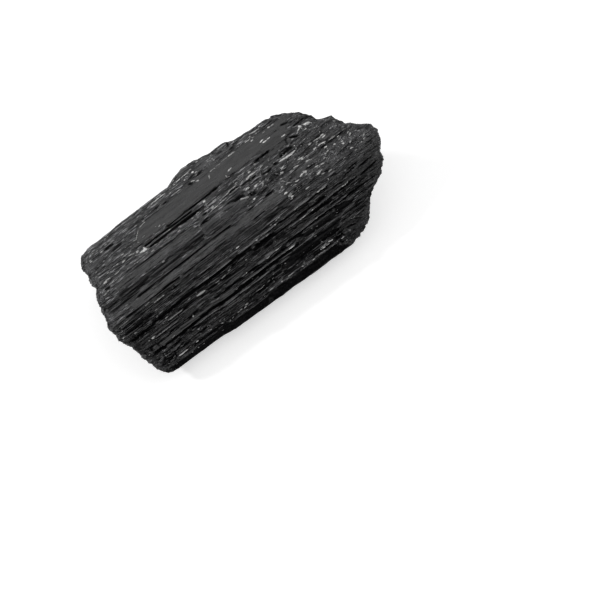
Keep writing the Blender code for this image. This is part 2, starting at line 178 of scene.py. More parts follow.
# Plates (+), chips and sunken steps (-): (x, girth, half length, half girth, height).
PATCHES = (
    (8, 11.2, 2.2, 0.9, -0.45),  # chip at its end
    (23, 13.4, 11.5, 3.9, -0.55),  # sunken right end of the top
    (10.5, 12.5, 1.6, 3.4, -0.35),  # ragged step before it
    (-25, 3.5, 5, 2.5, 0.15),
    (19.5, 8, 1.8, 1.4, -0.2),
    (18.5, 32, 3.4, 3.4, -0.55),  # broken lower right corner
    (-29.5, 28, 3, 5, -0.45),  # broken lower left corner
    (-8, 70, 9, 4, -0.60),
    (9, 74, 6, 3, 0.45),
    (4, 64.5, 8, 2, -0.55),
    (-23, 76, 5, 3.5, -0.50),
    (15, 47, 6, 3, -0.55),  # broken corners of the foot
    (-22, 56, 5, 4, -0.60),
    (-18, 37.6, 5, 2, -0.5),  # chips under the front
    (-4, 39, 6, 1.6, -0.4),
    (5.5, 37, 4, 1.3, -0.45),
    (14, 38.5, 4, 2, -0.5),
    (20, 10.6, 3.2, 0.9, 0.40),  # ledges on the sunken end
    (26.5, 11.6, 3, 0.8, 0.35),
    (20.5, 14.6, 3, 0.7, 0.35),
    (27.5, 16.2, 3.4, 0.9, -0.40),
)
# Plates whose edges are square, in the same order.
SQUARE_PLATES = (
    (-1.35, 12.3, 5.65, 1.3, 0.24), (-18, 77.5, 12, 1.6, 0.3), (6, 68.5, 13, 1.3, -0.35),
    (-14, 65.2, 9, 0.9, 0.3), (10, 79, 8, 1, -0.3), (-4, 74, 16, 0.8, 0.25),
)
SQUARE_EDGE, PATCH_EDGE = 0.28, 0.25  # how wide their edges are: in millimetres, and as a share of the patch
BOXY = 2.6  # how square the patches are
PATCH_WANDER = 0.35  # how far their edges wander

# Where the skin is whole and smooth: (left x, right x, upper girth at the left, at the right,
# lower girth at the left, at the right, how smooth, how far its ends slant for each millimetre of girth).
SMOOTH_PLATES = (
    (-18.87, 21.7, 3.23, 1.99, 6.86, 6.21, 0.93, -1.2), (11.92, 19.92, 6.03, 5.68, 8.54, 8.12, 0.9, 0.2),
    (-28.66, -7.82, 10.18, 10.05, 11.95, 11.83, 0.75, 0.3),
    (-32.81, -7.07, 12.22, 11.98, 14, 13.89, 0.55, 0), (-7.04, 5.46, 10.91, 10.84, 13.54, 13.47, 0.85, 0.3),
    (-31.7, 2.41, 14.22, 14.04, 14.77, 14.6, 0.7, 0),
    (-28.18, 10.19, 15.05, 14.81, 16.66, 16.47, 0.78, 0.3),
    (14.97, 26.18, 13.56, 13.13, 14.68, 14.2, 0.75, 0), (19.07, 28.75, 11.2, 10.74, 12.54, 12.08, 0.5, 0),
    (-32.67, -24.01, 19.01, 18.91, 20.02, 19.88, 0.9, 0), (-0.82, 4.3, 20.53, 20.47, 22.15, 22.07, 0.95, 0),
    (-29.17, -7.97, 26.46, 25.63, 27.66, 26.76, 0.8, 0),
    (-12.37, -3.19, 23.04, 22.89, 24.36, 24.17, 0.6, 0), (8.6, 22.5, 25.06, 24.5, 26.8, 26.3, 0.9, 1.6),
    (-0.49, 18.07, 27.65, 27.1, 29.5, 29.2, 0.85, -1.8), (-2.96, 16.94, 31.8, 31.75, 34.96, 34.83, 0.95, 0),
    (-28.5, -2, 32.9, 32, 35.3, 35.2, 0.93, 0),
)
# Where the skin is crumbly, as broken sugar is: (x, girth, half length, half girth, how crumbly).
CRUMBLY_PATCHES = (
    (24.5, 15.2, 12, 2.6, 1),  # right end of the top
    (24, 10.5, 9, 3, 0.6),
    (12.3, 13, 1.5, 3.6, 0.7),
    (29.5, 21, 5.5, 4.5, 0.6),  # right end of the front
    (19.9, 31.6, 3.4, 2.8, 0.75),
    (4, 2, 10, 1.6, 0.5),
    (2.5, 13, 4, 0.9, 0.5),
    (-0.8, 12.2, 6.2, 1.4, 0.35),
    (-19, 38, 8, 2.4, 0.8),  # under the front
    (-2, 38.6, 8, 2, 0.5),
    (12, 38, 7, 2.3, 0.8),
)
CRUMBLY_EDGE = 0.5
CRUMBLY_ROUGHNESS, CRUMBLY_COVER = 0.85, 0.8  # how rough such skin is, and how much of its striations is gone
# Where pale dust lies: (x, girth, half length, half girth, how much).
DUSTY_PATCHES = (
    (-15, 9.1, 12, 1.2, 1), (8, 10.2, 3.6, 2.2, 0.85), (25, 13.5, 11, 4.2, 0.4),
    (-0.6, 12.1, 5.8, 1.5, 0.75), (24, 18.6, 10, 2, 0.55), (-1, 24.4, 10, 0.8, 0.25),
    (19.9, 31.6, 3.4, 2.8, 0.14), (-18, 11.1, 10, 0.9, 0.15), (-12, 15.6, 14, 0.8, 0.2),
)
# A film of dust lies on the whole top, but not on these patches, which stay darker as painted shade, as if
# they leaned away from the light.
FILM_LINE = ((0, 1), (16.6, 1), (17.2, 0), (80, 0), (81, 1))
SHADE_PATCHES = (
    (16.2, 6.7, 4.6, 1.9, 1), (11.2, 13.6, 1.8, 3.4, 1),
)
WORN_DUST = 0.35  # how much lies along the rims of the breaks
PLATE_ENDS, PLATE_SIDES = 0.8, 0.15  # over what length a plate's ends and sides turn rough
# How each of these goes round the crystal, as (girth, share).
ROUGH_LINE = (
    (0, 1), (16.6, 1), (17.2, 0.4), (20, 0.2), (33, 0.2),
    (36, 0.6), (42, 0.4), (64, 0.25), (78, 0.3), (81, 0.9),
)
STRIAE_LINE = (
    (0, 0.35), (16.4, 0.35), (17.2, 0.8), (20, 1), (33, 1),
    (36, 0.8), (62, 0.9), (78, 0.9), (81, 0.4),
)
# The least striation that whole skin shows, and from how rough on it shows all.
WHOLE_STRIAE_LINE = ((0, 0.35), (16.5, 0.35), (17.5, 0.12), (23, 0.12), (25, 0.05), (36, 0.15))
STRIATED_FROM = 0.2
# Which way the striations lean.
LEAN_LINE = (
    (0, 0.15), (16.4, 0.15), (17.2, -0.8), (20, -1), (25, -1.1), (27, -1.9),
    (33, -1.9), (36, -0.3), (66, 0),
)

# How much of the fracture whole skin shows.
EVEN_LINE = ((0, 0.12), (16.5, 0.12), (17.5, 0.05), (34, 0.05), (36, 0.12))

# The noises: (height, grain along the prism, grain across it, where along the noise it starts).
NOISES = {
    "wander": (1.0, 4.0, 2.0, 0.0),
    "ragged edge": (0.30, 2.2, 1.0, 0.0),
    "splintered edge": (0.13, 0.5, 1.0, 5.0),
    "fracture": (0.16, 4.0, 1.0, 40.0),
    "splinters": (0.22, 7.5, 0.45, 7.0),
    "crumbs": (0.07, 1.0, 0.3, 19.0),
    "rim lumps": (0.27, 0.8, 0.8, 60.0),
    "end fracture": (4.0, 1.0, 5.5, 0.0),
    "end crumbs": (0.5, 1.0, 0.95, 9.0),
}
NOISE_ROUGHNESS, NOISE_FINER, NOISE_LAYERS = 1.0, 2.0, 3
TERRACE = 0.10  # height of the ledges' steps
END_TERRACE = 3 * TERRACE
HOLLOW_DEPTH = 0.25  # furrows this deep are smooth and carry no dust or pale marks, so they stay black: painted shade
RIM_WEAR, RIM_REACH, RIM_VARIETY = 0.45, 2.2, 1.2  # how much the rims wear off, how far in, how unevenly
WORN_WANDER = 0.6
FOOT_LINE = ((40.0, 0.0), (41.0, 1.0), (61.0, 1.0), (62.0, 0.0))  # where the foot is
FOOT_FLATNESS = 0.12  # how much of its relief the foot lacks

# The broken ends.
END_HOLLOW = 2.2
END_REACH, END_CRUMBS_REACH = 1.9, 0.6  # how far from the rim the break, and its crumbs, come in
END_PULL = -3.0  # how fast a point of the rim loses its hold on the break
END_SPACING, END_SCATTER = 0.37, 0.28  # how far apart the points are, and what share of that they stray
END_ROWS = np.sqrt(0.75)  # how far apart their rows are, as a share of that
END_SEED = 11
END_NOISE_PLACE = 80.0
END_COLUMN, END_STEP, END_TILT = 1.9, 0.9, 0.38  # columns it breaks into: their size, steps and slope
COLUMN_PLACE, COLUMN_VARIETY = 3.5, 5.3  # where in the noise the columns are, and how unlike their steps are
GUIDE_STEP = 0.8  # spacing of the rim's points that the ends take after
JOIN_WITHIN = 1e-6

# How far apart the skin's points are, as (from girth, to girth, step).
GIRTH_STEPS = ((0.0, 35.4, 0.10), (35.4, 77.5, 0.27), (77.5, None, 0.15))
POINTS_ALONG = 172
# What the skin carries at each point, and what the broken ends carry.
SKIN_VALUES = ("girth", "lean", "rough", "striated", "crumbly", "dust", "line", "film")
END_VALUES = (0.0, 0.0, 0.6, 0.0, 0.6, 0.06, 0.0, 0.05)

CORNERS = np.array(OUTLINE + OUTLINE[:1])
CORNER_GIRTHS = np.concatenate([[0.0], np.cumsum(np.hypot(*np.diff(CORNERS, axis=0).T))])
GIRTH = CORNER_GIRTHS[-1]


def table(points, at):
    """Straight lines through the points, read at the given places."""
    across, up = zip(*points)
    return np.interp(at, across, up)


def ring_table(points, girth):
    """A table that goes right round the outline and meets itself."""
    return table(points + ((GIRTH, points[0][1]),), girth % GIRTH)


def smooth_step(share):
    share = np.clip(share, 0.0, 1.0)
    return share * share * (3.0 - 2.0 * share)


def fractal(kind, x, y, z):
    """The named noise, in millimetres."""
    height, along, across, start = NOISES[kind]
    places = zip((x / along + start).flat, (y / across).flat, (z / across).flat)
    waves = [noise.fractal(place, NOISE_ROUGHNESS, NOISE_FINER, NOISE_LAYERS) for place in places]
    return height * np.reshape(waves, x.shape)


def terraced(height, step):
    """Turns a slope into treads and risers."""
    return height - step * np.sin(2 * np.pi * height / step) / (2 * np.pi)


def on_outline(girth):
    """(y, z) on the outline, its corners eased by CORNER_ROUNDING, and the outward normal there."""
    spread = []
    for step in (-2, -1, 0, 1, 2):
        at = (girth + step * CORNER_ROUNDING) % GIRTH
        spread.append(np.stack([np.interp(at, CORNER_GIRTHS, CORNERS[:, k]) for k in (0, 1)]))
    place = (spread[1] + spread[2] + spread[3]) / 3.0
    run = spread[4] - spread[0]
    run /= np.hypot(*run)
    return place, np.stack([run[1], -run[0]])


def bare_ribs():
    """The ribs of the sides that are out of sight in the usual view, strewn by chance."""
    chance = np.random.RandomState(BARE_RIB_SEED)
    ribs = []
    for start, end in BARE_GIRTHS:
        girth = start
        while girth < end:
            width = chance.uniform(*BARE_RIB_WIDTHS)
            left = chance.uniform(*BARE_RIB_ENDS)
            right = -chance.uniform(*BARE_RIB_ENDS)
            height = chance.uniform(*BARE_RIB_HEIGHTS)
            if right - left > RIB_FADE:
                ribs.append((left, right, girth + width / 2, girth + width / 2, width, height))
            girth += width
    return tuple(ribs)


ALL_RIBS = tuple(tuple(size / HUNDREDTHS for size in rib) for rib in RIBS) + bare_ribs()


def along_line(x, left, right, at_left, at_right):
    """The girth of a straight line between two places."""
    return at_left + (at_right - at_left) * (x - left) / (right - left)


def rib_height(x, girth):
    """The sum of the ribs, the furrows and the leaning facets at a place, and where narrow crests carry a
    painted highlight.
    """
    height, crests = np.zeros_like(x), np.zeros_like(x)
    for left, right, at_left, at_right, width, lift in ALL_RIBS:
        across = 1.0 - np.abs(girth - along_line(x, left, right, at_left, at_right)) / (width / 2)
        along = np.minimum(x - left, right - x) / min(RIB_FADE, (right - left) / FADES_IN_RIB)
        rib = np.clip(across, 0.0, 1.0) * smooth_step(along)
        height += lift * rib
        # Narrow raised ribs carry a painted highlight along their crests.
        if lift > 0.0 and width < CREST_WIDTH:
            crests = np.maximum(crests, rib**CREST_SHARPNESS * min(lift / CREST_HEIGHT, 1.0))
    for left, right, at_left, at_right, width, lean in BANDS:
        across = (girth - along_line(x, left, right, at_left, at_right)) / (width / 2)
        along = np.minimum(x - left, right - x) / RIB_FADE
        height -= lean * across * smooth_step((1.0 - np.abs(across)) / BAND_STEP) * smooth_step(along)
    return height, crests


def patch_height(x, girth, wander):
    """The sum of the patches, whose edges wander by the noise given."""
    height = np.zeros_like(x)
    for centre, round_at, half_x, half_girth, lift in PATCHES:
        along, across = np.abs((x - centre) / half_x), np.abs((girth - round_at) / half_girth)
        away = (along**BOXY + across**BOXY) ** (1 / BOXY) + PATCH_WANDER * wander
        height += lift * smooth_step((1.0 - away) / PATCH_EDGE)
    for centre, round_at, half_x, half_girth, lift in SQUARE_PLATES:
        within = np.minimum(half_x - np.abs(x - centre), half_girth - np.abs(girth - round_at))
        height += lift * smooth_step((within + PATCH_WANDER * wander) / SQUARE_EDGE)
    return height


def roughness_of(x, girth, wander):
    """How broken the skin is, from 0 on a whole plate to 1."""
    whole = np.zeros_like(x)
    for left, right, upper_left, upper_right, lower_left, lower_right, smoothness, slant in SMOOTH_PLATES:
        upper = along_line(x, left, right, upper_left, upper_right)
        lower = along_line(x, left, right, lower_left, lower_right)
        shifted = x - slant * (girth - (upper + lower) / 2)
        along = np.minimum(shifted - left, right - shifted) / PLATE_ENDS + wander
        across = np.minimum(girth - upper, lower - girth) / PLATE_SIDES
        whole = np.maximum(whole, smoothness * smooth_step(np.minimum(along, across)))
    return (1.0 - whole) * ring_table(ROUGH_LINE, girth)


def patches_at(patches, x, girth, wander):
    """How much of the patches is at a place, from 0 to 1."""
    share = np.zeros_like(x)
    for centre, round_at, half_x, half_girth, most in patches:
        away = np.hypot((x - centre) / half_x, (girth - round_at) / half_girth) + PATCH_WANDER * wander
        share = np.maximum(share, most * smooth_step((1.0 - away) / CRUMBLY_EDGE))
    return share


def plain_form(x, girth):
    """y and z of the form without ribs or breaks, and the outward normal."""
    (y, z), outward = on_outline(girth)
    y = y + table(SHOULDER_LINE, x) * ring_table(SHOULDER_SHARE, girth)
    y = y - table(FRONT_LINE, x) * ring_table(FRONT_SHARE, girth)
    z = z - table(DIP_LINE, x) * ring_table(DIP_SHARE, girth)
    return y, z, outward


def surface(x, girth):
    """The points of the skin, as arrays of x, y and z, and its shares in the order of SKIN_VALUES[2:]."""
    y, z, (out_y, out_z) = plain_form(x, girth)
    wander = fractal("wander", x, y, z)
    crumbly = patches_at(CRUMBLY_PATCHES, x, girth, wander)
    ribs, crests = rib_height(x, girth)
    # Deep furrows lose their dust and pale marks and stay black: painted shade.
    raised = 1.0 - smooth_step(-ribs / HOLLOW_DEPTH)
    rough = np.maximum(roughness_of(x, girth, wander), CRUMBLY_ROUGHNESS * crumbly) * raised

    height = ribs + patch_height(x, girth, wander)
    evenness = table(EVEN_LINE, girth)
    height += fractal("fracture", x, y, z) * (evenness + (1.0 - evenness) * rough)
    height += (terraced(fractal("splinters", x, y, z), TERRACE) + fractal("crumbs", x, y, z)) * rough
    rim = np.minimum(x - ring_table(LEFT_BREAK, girth), ring_table(RIGHT_BREAK, girth) - x) / RIM_REACH
    worn = 1.0 - smooth_step(rim + WORN_WANDER * wander)
    height -= RIM_WEAR * (1.0 - smooth_step(rim)) * (1.0 + RIM_VARIETY * wander)
    height += fractal("rim lumps", x, y, z) * worn
    flat = table(FOOT_LINE, girth)
    height = height * (1.0 - flat) + np.minimum(height + FOOT_FLATNESS, 0.0) * flat

    rough = np.maximum(rough, worn) * (1.0 - flat)
    crumbly = np.maximum(crumbly, worn) * (1.0 - flat)
    striated = ring_table(STRIAE_LINE, girth) * (1.0 - flat) * (1.0 - CRUMBLY_COVER * crumbly)
    striated *= np.clip(rough / STRIATED_FROM, table(WHOLE_STRIAE_LINE, girth), 1.0)
    dust = np.maximum(patches_at(DUSTY_PATCHES, x, girth, wander), WORN_DUST * worn) * raised
    # The film is left off the shade patches: painted shade.
    film = table(FILM_LINE, girth) * (1.0 - patches_at(SHADE_PATCHES, x, girth, wander))
    # The line share is the painted highlight on narrow crests.
    shares = (rough, striated, crumbly, dust, crests * raised, film)
    return (x, y + out_y * height, np.maximum(z + out_z * height, 0.0)), shares


def break_line(points, girth):
    """Where a break crosses the surface, ragged as a snapped edge is."""
    elsewhere = np.full_like(girth, points[0][1])
    level = np.zeros_like(girth)
    waver = fractal("ragged edge", girth, elsewhere, level)
    return ring_table(points, girth) + waver + fractal("splintered edge", girth, elsewhere, level)


def girth_stations():
    """The girths that carry points."""
    stations = []
    for start, end, step in GIRTH_STEPS:
        end = GIRTH if end is None else end
        stations.append(np.linspace(start, end, round((end - start) / step), endpoint=False))
    return np.concatenate(stations)


def inside(points, rim):
    """Which of the points (y, z) lie within the closed line of the rim."""
    crossings = np.zeros(len(points), dtype=int)
    for (y0, z0), (y1, z1) in zip(rim, np.roll(rim, -1, axis=0)):
        if z0 != z1:
            between = (z0 > points[:, 1]) != (z1 > points[:, 1])
            crossings += between & (points[:, 0] < y0 + (points[:, 1] - z0) * (y1 - y0) / (z1 - z0))
    return crossings % 2 == 1


def distances(points, rim):
    return np.hypot(*(points[:, None] - rim[None]).transpose(2, 0, 1))


def strewn_points(rim, chance):
    """Points (y, z) strewn over an end, each about END_SPACING from the next and clear of the rim."""
    low, high = rim.min(axis=0), rim.max(axis=0)
    rows = np.arange(low[1], high[1], END_SPACING * END_ROWS)
    strewn = [
        (y + (row % 2) * END_SPACING / 2, z)
        for row, z in enumerate(rows)
        for y in np.arange(low[0], high[0], END_SPACING)
    ]
    strewn = np.array(strewn) + chance.uniform(-END_SCATTER, END_SCATTER, (len(strewn), 2)) * END_SPACING
    clear = distances(strewn, rim).min(axis=1) > END_SPACING / 2
    return strewn[inside(strewn, rim) & clear]


def columns(y, z, side):
    """The height of an end that breaks into columns, each with its own level and slope."""
    noise.seed_set(END_SEED)
    heights = []
    for place in zip(y / END_COLUMN, z / END_COLUMN, np.full(len(y), COLUMN_PLACE * side)):
        _, (centre, *_) = noise.voronoi(place)
        chance = noise.noise_vector(centre * COLUMN_VARIETY)
        from_centre = Vector(place) - centre
        slope = chance.y * from_centre.x + chance.z * from_centre.y
        heights.append(END_STEP * chance.x + END_TILT * END_COLUMN * slope)
    return np.array(heights)


def end_face(flat, guide, side):
    """The face that closes an end: its new points, and triangles that number the rim's points first."""
    strewn = strewn_points(flat, np.random.RandomState(END_SEED + side))
    apart = distances(strewn, guide[:, 1:])
    nearness = apart**END_PULL
    from_rim = (nearness * guide[:, 0]).sum(axis=1) / nearness.sum(axis=1)
    level = np.linalg.lstsq(np.c_[np.ones(len(guide)), guide[:, 1:]], guide[:, 0], rcond=None)[0]
    places = (np.full(len(strewn), END_NOISE_PLACE * side), *strewn.T)
    broken = level[0] + strewn @ level[1:] + side * (fractal("end fracture", *places) - END_HOLLOW)
    broken += columns(*strewn.T, side)
    x = broken + (from_rim - broken) * np.exp(-apart.min(axis=1) / END_REACH)
    crumbs = terraced(fractal("end crumbs", *places), END_TERRACE)
    x += side * crumbs * (1.0 - np.exp(-apart.min(axis=1) / END_CRUMBS_REACH))

    corners = [Vector(place) for place in np.concatenate([flat, strewn])]
    loop = [(i, (i + 1) % len(flat)) for i in range(len(flat))]
    _, _, triangles, sources, _, _ = delaunay_2d_cdt(corners, loop, [], 1, JOIN_WITHIN)
    faces = [tuple(sources[i][0] for i in triangle) for triangle in triangles]
    return np.c_[x, strewn], faces if side > 0 else [face[::-1] for face in faces]


def skin_triangles(skin):
    """Two triangles for each four neighbouring points, split along the shorter diagonal."""
    here = np.arange(skin[..., 0].size).reshape(skin.shape[:2])
    after, skin_after = np.roll(here, -1, axis=1), np.roll(skin, -1, axis=1)
    rising = np.linalg.norm(skin[:-1] - skin_after[1:], axis=2)
    falling = np.linalg.norm(skin_after[:-1] - skin[1:], axis=2)
    up = rising < falling
    first = np.stack([here[:-1], after[:-1], np.where(up, after[1:], here[1:])], axis=-1)
    second = np.stack([np.where(up, here[:-1], after[:-1]), after[1:], here[1:]], axis=-1)
    return np.concatenate([first, second], axis=1).reshape(-1, 3)


def grid(girth, count):
    """x at each girth, along the prism from break to break."""
    left, right = break_line(LEFT_BREAK, girth), break_line(RIGHT_BREAK, girth)
    share = np.linspace(0.0, 1.0, count)[:, None]
    x = left.mean() + (right.mean() - left.mean()) * share
    x = x + (left - left.mean()) * (1.0 - share) ** 3 + (right - right.mean()) * share**3
    return x, np.broadcast_to(girth, x.shape)


def crystal_mesh():
    """The whole skin as a mesh, with the attributes named in SKIN_VALUES on its points."""
    girth = girth_stations()
    x, round_at = grid(girth, POINTS_ALONG)
    places, shares = surface(x, round_at)
    skin = np.stack(places, axis=-1)
    guide_x, guide_girth = grid(np.arange(0.0, GIRTH, GUIDE_STEP), 2)
    guide = np.stack(surface(guide_x, guide_girth)[0], axis=-1)

    around = len(girth)
    faces = [skin_triangles(skin)]
    points = skin.reshape(-1, 3)
    values = np.stack([round_at, ring_table(LEAN_LINE, round_at), *shares]).reshape(len(SKIN_VALUES), -1)
    for row, side in ((0, -1), (-1, 1)):
        first = 0 if side < 0 else skin.shape[0] * around - around
        plain = np.stack(plain_form(x[row], girth)[:2], axis=-1)
        inner, triangles = end_face(plain, guide[row], side)
        base = len(points) - around
        triangles = np.array(triangles)
        faces.append(np.where(triangles < around, triangles + first, triangles + base))
        points = np.concatenate([points, inner])
        values = np.concatenate([values, np.outer(END_VALUES, np.ones(len(inner)))], axis=1)

    mesh = bpy.data.meshes.new("tourmaline_skin")
    mesh.from_pydata((points * MM).tolist(), [], np.concatenate(faces).tolist())
    for name, column in zip(SKIN_VALUES, values):
        scale = MM if name == "girth" else 1.0
        mesh.attributes.new(name, "FLOAT", "POINT").data.foreach_set("value", column * scale)
    return mesh


# ---------------------------------------------------------------------------------------------------------
# Node helpers. A sum goes into the tree that the sockets it works on belong to.


def add(tree, kind, inputs=None, **settings):
    """A node with its settings, and with its inputs set to values or linked to sockets."""
    made = tree.nodes.new(kind)
    for name, value in settings.items():
        setattr(made, name, value)
    for name, value in (inputs or {}).items():
        if isinstance(value, bpy.types.NodeSocket):
            tree.links.new(value, made.inputs[name])
        else:
            made.inputs[name].default_value = value
    return made


def tree_of(*values):
    return next(value for value in values if isinstance(value, bpy.types.NodeSocket)).id_data


def maths(operation, *values):
    return add(tree_of(*values), "ShaderNodeMath", dict(enumerate(values)), operation=operation).outputs[0]


OPERATIONS = ("ADD", "SUBTRACT", "MULTIPLY", "DIVIDE", "MULTIPLY_ADD", "MAXIMUM")
plus, minus, times, over, times_plus, larger = (functools.partial(maths, kind) for kind in OPERATIONS)


def scaled(vector, size):
    inputs = {0: vector, "Scale": size}
    return add(tree_of(vector), "ShaderNodeVectorMath", inputs, operation="SCALE").outputs[0]


def joined(**parts):
    return add(tree_of(*parts.values()), "ShaderNodeCombineXYZ", parts).outputs[0]


def ramp(value, name):
    """The value, from 0 at the named ramp's start to 1 at its end."""
    inputs = {"Value": value} | dict(zip(("From Min", "From Max"), RAMPS[name]))
    return add(tree_of(value), "ShaderNodeMapRange", inputs).outputs[0]


def clouds(vector, scale, detail, more=None, **settings):
    """What a noise node gives: a number and a colour."""
    inputs = {"Vector": vector, "Scale": scale, "Detail": detail, **(more or {})}
    return add(tree_of(vector), "ShaderNodeTexNoise", inputs, **settings).outputs


def new_tree(name, sizes):
    """An empty Geometry Nodes tree with geometry, a material and the named sizes going in."""
    tree = bpy.data.node_groups.new(name, "GeometryNodeTree")
    tree.interface.new_socket("Geometry", in_out="INPUT", socket_type="NodeSocketGeometry")
    tree.interface.new_socket("Material", in_out="INPUT", socket_type="NodeSocketMaterial")
    for size, value in sizes.items():
        tree.interface.new_socket(size, in_out="INPUT", socket_type="NodeSocketFloat").default_value = value
    tree.interface.new_socket("Geometry", in_out="OUTPUT", socket_type="NodeSocketGeometry")
    return tree, add(tree, "NodeGroupInput").outputs


def close_tree(geometry, material):
    """Ends a tree, and gives it: what it made becomes plain mesh of one material."""
    tree = tree_of(geometry)
    real = add(tree, "GeometryNodeRealizeInstances", {"Geometry": geometry})
    clad = add(tree, "GeometryNodeSetMaterial", {"Geometry": real.outputs[0], "Material": material})
    add(tree, "NodeGroupOutput", {"Geometry": clad.outputs[0]})
    return tree


def stored(tree, name, kind="FLOAT"):
    made = add(tree, "GeometryNodeInputNamedAttribute", {"Name": name}, data_type=kind)
    return made.outputs["Attribute"]


def keep(geometry, name, value):
    inputs = {"Geometry": geometry, "Name": name, "Value": value}
    return add(tree_of(geometry), "GeometryNodeStoreNamedAttribute", inputs, data_type="FLOAT").outputs[0]


def moved(geometry, offset):
    inputs = {"Geometry": geometry, "Offset": offset}
    return add(tree_of(geometry), "GeometryNodeSetPosition", inputs).outputs[0]


def placed(name, data):
    made = bpy.data.objects.new(name, data)
    bpy.context.scene.collection.objects.link(made)
    return made


def applied(mesh, tree, name, material):
    """A plain mesh object made by running the tree on the mesh."""
    carrier = placed(name + "_maker", mesh)
    modifier = carrier.modifiers.new("maker", "NODES")
    modifier.node_group = tree
    sockets = {s.name: s.identifier for s in tree.interface.items_tree if s.in_out == "INPUT"}
    modifier[sockets["Material"]] = material
    seen = carrier.evaluated_get(bpy.context.evaluated_depsgraph_get())
    made = bpy.data.meshes.new_from_object(seen)
    carrier.modifiers.remove(modifier)
    bpy.data.objects.remove(carrier)
    return placed(name, made)


# Where each of these sets in and where it is whole, as values of what it follows.
RAMPS = {
    "drift": (0.3, 0.7), "groove": (0.30, 0.5), "grooved level": (0.55, 0.25), "upper edge": (-0.22, -0.42),
    "bright level": (0.45, 0.9), "dusty fibres": (0.50, 0.60), "dusty grain": (0.48, 0.70),
    "dusty crests": (0.4, 1.0), "dusty clouds": (0.15, 0.55), "film fibres": (0.40, 0.65),
    "film grain": (0.40, 0.72), "lying fibres": (0.42, 0.60), "edge fibres": (0.45, 0.62),
    "line fibres": (0.40, 0.62), "dashes": (0.60, 0.68), "specks": (0.60, 0.66), "speckled": (0.4, 1.0),
    "veins": (0.1, 0.5),
}

# ---------------------------------------------------------------------------------------------------------
# The fine striations and the grain, which follow the skin.

STRIATIONS = {
    "Rib width": 0.90 * MM,
    "Rib length": 36.0 * MM,
    "Rib lean": 0.12,
    "Rib step": 0.08,
    "Fine rib width": 0.42 * MM,
    "Fine rib length": 13.0 * MM,
    "Fine rib lean": 0.36,
    "Fine rib step": 0.12,
    "Chip width": 0.31 * MM,
    "Chip length": 3.8 * MM,
    "Chip lean": 0.34,
    "Chip step": 0.34,
    "Groove": 0.22,
    "Grain size": 0.34 * MM,
    "Grain stretch": 1.6,
    "Grain height": 0.34 * MM,
    "Seed": 3.0,
}
SWAY, SWAY_STRETCH, SWAY_SCALE = 1.2, 0.3, 0.5  # how far the rows sway, in widths, and how often
ROWS_APART = 5.37  # how unlike neighbouring rows are
LEAST_TURN, TURN_RANGE = 0.3, 1.4  # how much of its lean a row has
CHIP_SEED, CHIP_LEAST_TURN, CHIP_TURN_RANGE = 31.0, -1.3, 2.0
LEAST_GRAIN, CRUMBLY_GRAIN = 0.25, 0.75


def long_rows(across, along, width, length, seed):
    """Rows side by side: where in its row a place is, across it, and two numbers that drift along the row."""
    across = plus(over(across, width), seed)
    along = over(along, length)
    sway = clouds(joined(X=times(along, SWAY_STRETCH), Y=across), SWAY_SCALE, 0.0, noise_dimensions="2D")[0]
    across = times_plus(sway, SWAY, across)
    row = maths("FLOOR", across)
    drift = clouds(joined(X=along, Y=times(row, ROWS_APART)), 1.0, 1.0, noise_dimensions="2D")["Color"]
    chance = add(tree_of(drift), "FunctionNodeSeparateColor", {"Color": drift}).outputs
    return minus(minus(across, row), 0.5), ramp(chance[0], "drift"), ramp(chance[1], "drift")


def stepped(cell, width, lean, step, groove):
    """The height of rows that each lean a little, lie higher or lower than the next, and part at grooves."""
    within, level, turn = cell
    height = times(within, times(lean, times_plus(turn, TURN_RANGE, LEAST_TURN)))
    seam = times(ramp(maths("ABSOLUTE", within), "groove"), ramp(level, "grooved level"))
    height = minus(height, times(seam, groove))
    return times(plus(height, times(minus(level, 0.5), step)), width)


def striation_tree():
    """Ribs, finer ribs and chips that follow the girth, and a crumbly grain, lift the skin or sink it."""
    tree, given = new_tree("striations", STRIATIONS)
    girth, lean, rough, striated, crumbly = (stored(tree, name) for name in SKIN_VALUES[:5])
    position = add(tree, "GeometryNodeInputPosition").outputs[0]
    x = add(tree, "ShaderNodeSeparateXYZ", {"Vector": position}).outputs["X"]
    ribs = edges = 0.0
    for kind in ("Rib", "Fine rib"):
        width = given[kind + " width"]
        cell = long_rows(girth, x, width, given[kind + " length"], given["Seed"])
        leaning = times(given[kind + " lean"], lean)
        ribs = plus(ribs, stepped(cell, width, leaning, given[kind + " step"], given["Groove"]))
        # The upper edges of the higher rows: partly worn pale, partly a painted highlight.
        edges = larger(edges, times(ramp(cell[0], "upper edge"), ramp(cell[1], "bright level")))

    width, seed = given["Chip width"], plus(given["Seed"], CHIP_SEED)
    within, level, turn = long_rows(girth, x, width, given["Chip length"], seed)
    cell = within, level, times_plus(turn, CHIP_TURN_RANGE, CHIP_LEAST_TURN)
    chips = stepped(cell, width, given["Chip lean"], given["Chip step"], given["Groove"])
    chips = times(chips, minus(1.0, crumbly))

    finer = over(1.0, given["Grain size"])
    squeezed = joined(X=over(finer, given["Grain stretch"]), Y=finer, Z=finer)
    place = add(tree, "ShaderNodeVectorMath", {0: position, 1: squeezed}, operation="MULTIPLY").outputs[0]
    grain = clouds(place, 1.0, 2.0, {"W": given["Seed"]}, noise_dimensions="4D")[0]
    grain = times(minus(grain, 0.5), given["Grain height"])
    grain = times(grain, times_plus(crumbly, CRUMBLY_GRAIN, LEAST_GRAIN))

    height = times_plus(ribs, striated, times(plus(chips, grain), rough))
    normal = add(tree, "GeometryNodeInputNormal").outputs[0]
    skin = moved(given["Geometry"], scaled(normal, height))
    # crest: how high a chip lies on rough skin, which the finish paints paler as a painted highlight.
    skin = keep(skin, "crest", times(level, rough))
    return close_tree(keep(skin, "edge", times(edges, striated)), given["Material"])
